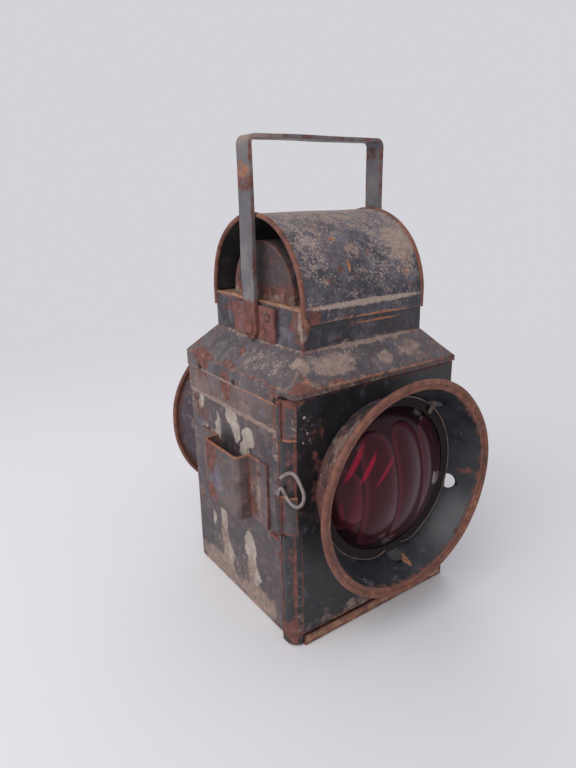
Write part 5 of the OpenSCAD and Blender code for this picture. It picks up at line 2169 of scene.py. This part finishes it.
@dataclass
class Studio:
    """The pale floor and backdrop, the soft lamps and the camera.

    Attributes:
        eye: The camera's place, in metres.
        right: The camera's right-hand direction.
        up: Its upward direction.
        back: The direction away from what it looks at.
        lens: Its focal length in millimetres.
        floor: The floor's colour.
        backdrop: The colour of what lies beyond it.
        near_floor: Where the floor starts to fade, in metres from the lamp.
        far_floor: Where it has gone.
        sky: How bright the surroundings are.
        sky_tint: Their colour.
        lamps: Each lamp's name, place, size and power.
    """

    eye: Point = (-0.3122, -0.4062, 0.3550)
    right: Point = (0.8181, -0.5747, -0.0219)
    up: Point = (0.1941, 0.2400, 0.9512)
    back: Point = (-0.5414, -0.7824, 0.3079)
    lens: float = 27.65
    floor: str = "#efeef1"
    backdrop: str = "#d3d3d8"
    near_floor: float = 0.3
    far_floor: float = 1.2
    sky: float = 0.62
    sky_tint: str = "#e2e1e6"
    lamps: tuple[tuple[str, Point, float, float], ...] = (
        ("key", (-1.5, -0.55, 1.6), 2.3, 31.0), ("back", (0.9, 1.7, 1.5), 1.8, 8.0),
    )

    def build(self) -> None:
        """Builds the floor, the lamps and the camera."""
        self._floor()
        self._lamps()
        self._camera()

    def _floor(self) -> None:
        """Lays a pale matt floor that fades into the backdrop with distance."""
        mesh = bpy.data.meshes.new("floor")
        size, low = 6.0, -0.0006
        mesh.from_pydata(
            [(-size, -size, low), (size, -size, low), (size, size, low), (-size, size, low)], [],
            [(0, 1, 2, 3)],
        )
        floor = put("floor", mesh)
        material = bpy.data.materials.new("matt_floor")
        tree = empty_tree(material)
        where = add_node(tree, "ShaderNodeTexCoord").outputs["Object"]
        away = add_node(tree, "ShaderNodeVectorMath", {0: where}, operation="LENGTH").outputs["Value"]
        far = add_node(
            tree, "ShaderNodeMapRange",
            {"Value": away, "From Min": self.near_floor, "From Max": self.far_floor},
            interpolation_type="SMOOTHSTEP",
        )
        share = add_node(tree, "ShaderNodeMath", {0: far, 1: seen_ray(tree)}, operation="MULTIPLY")
        matt = add_node(
            tree, "ShaderNodeBsdfPrincipled", {"Base Color": srgb(self.floor), "Roughness": 0.95},
        )
        haze = add_node(tree, "ShaderNodeEmission", {"Color": srgb(self.backdrop), "Strength": 1.0})
        both = add_node(tree, "ShaderNodeMixShader", {0: share, 1: matt, 2: haze})
        add_node(tree, "ShaderNodeOutputMaterial", {"Surface": both})
        mesh.materials.append(material)

    def _lamps(self) -> None:
        """Hangs the soft lamps and sets the pale surroundings."""
        aim = Vector((0.0, 0.0, 0.2))
        for name, place, size, power in self.lamps:
            light = bpy.data.lights.new(name, "AREA")
            light.shape, light.size, light.energy = "SQUARE", size, power
            lamp = put(name, light)
            lamp.location = place
            lamp.rotation_euler = (Vector(place) - aim).to_track_quat("Z", "Y").to_euler()
        world = bpy.data.worlds.new("studio")
        bpy.context.scene.world = world
        tree = empty_tree(world)
        soft = add_node(tree, "ShaderNodeBackground", {0: srgb(self.sky_tint), 1: self.sky})
        seen = add_node(tree, "ShaderNodeBackground", {0: srgb(self.backdrop), 1: 1.0})
        both = add_node(tree, "ShaderNodeMixShader", {0: seen_ray(tree), 1: soft, 2: seen})
        add_node(tree, "ShaderNodeOutputWorld", {0: both})
        bpy.context.scene.view_settings.view_transform = "Standard"

    def _camera(self) -> None:
        """Sets the camera at the photograph's angle."""
        data = bpy.data.cameras.new("camera")
        data.lens, data.sensor_width = self.lens, 36.0
        data.clip_start = 0.01
        camera = put("camera", data)
        axes = Matrix((self.right, self.up, self.back)).transposed().to_4x4()
        camera.matrix_world = Matrix.Translation(Vector(self.eye)) @ axes
        bpy.context.scene.camera = camera


def main() -> None:
    """Builds the lamp's sub-assemblies in order, then the studio."""
    logging.basicConfig(level=logging.INFO, format="%(name)s: %(message)s")
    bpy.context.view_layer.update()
    noise.seed_set(DENT_SEED)
    CaseShell().build()
    RoofAndCowl().build()
    CarryHandle().build()
    LampIronSocket().build()
    HoodedLens(End.FRONT).build()
    HoodedLens(End.REAR).build()
    Door().build()
    Hinges().build()
    BurnerSet().build()
    Studio().build()


if __name__ == "__main__":
    main()
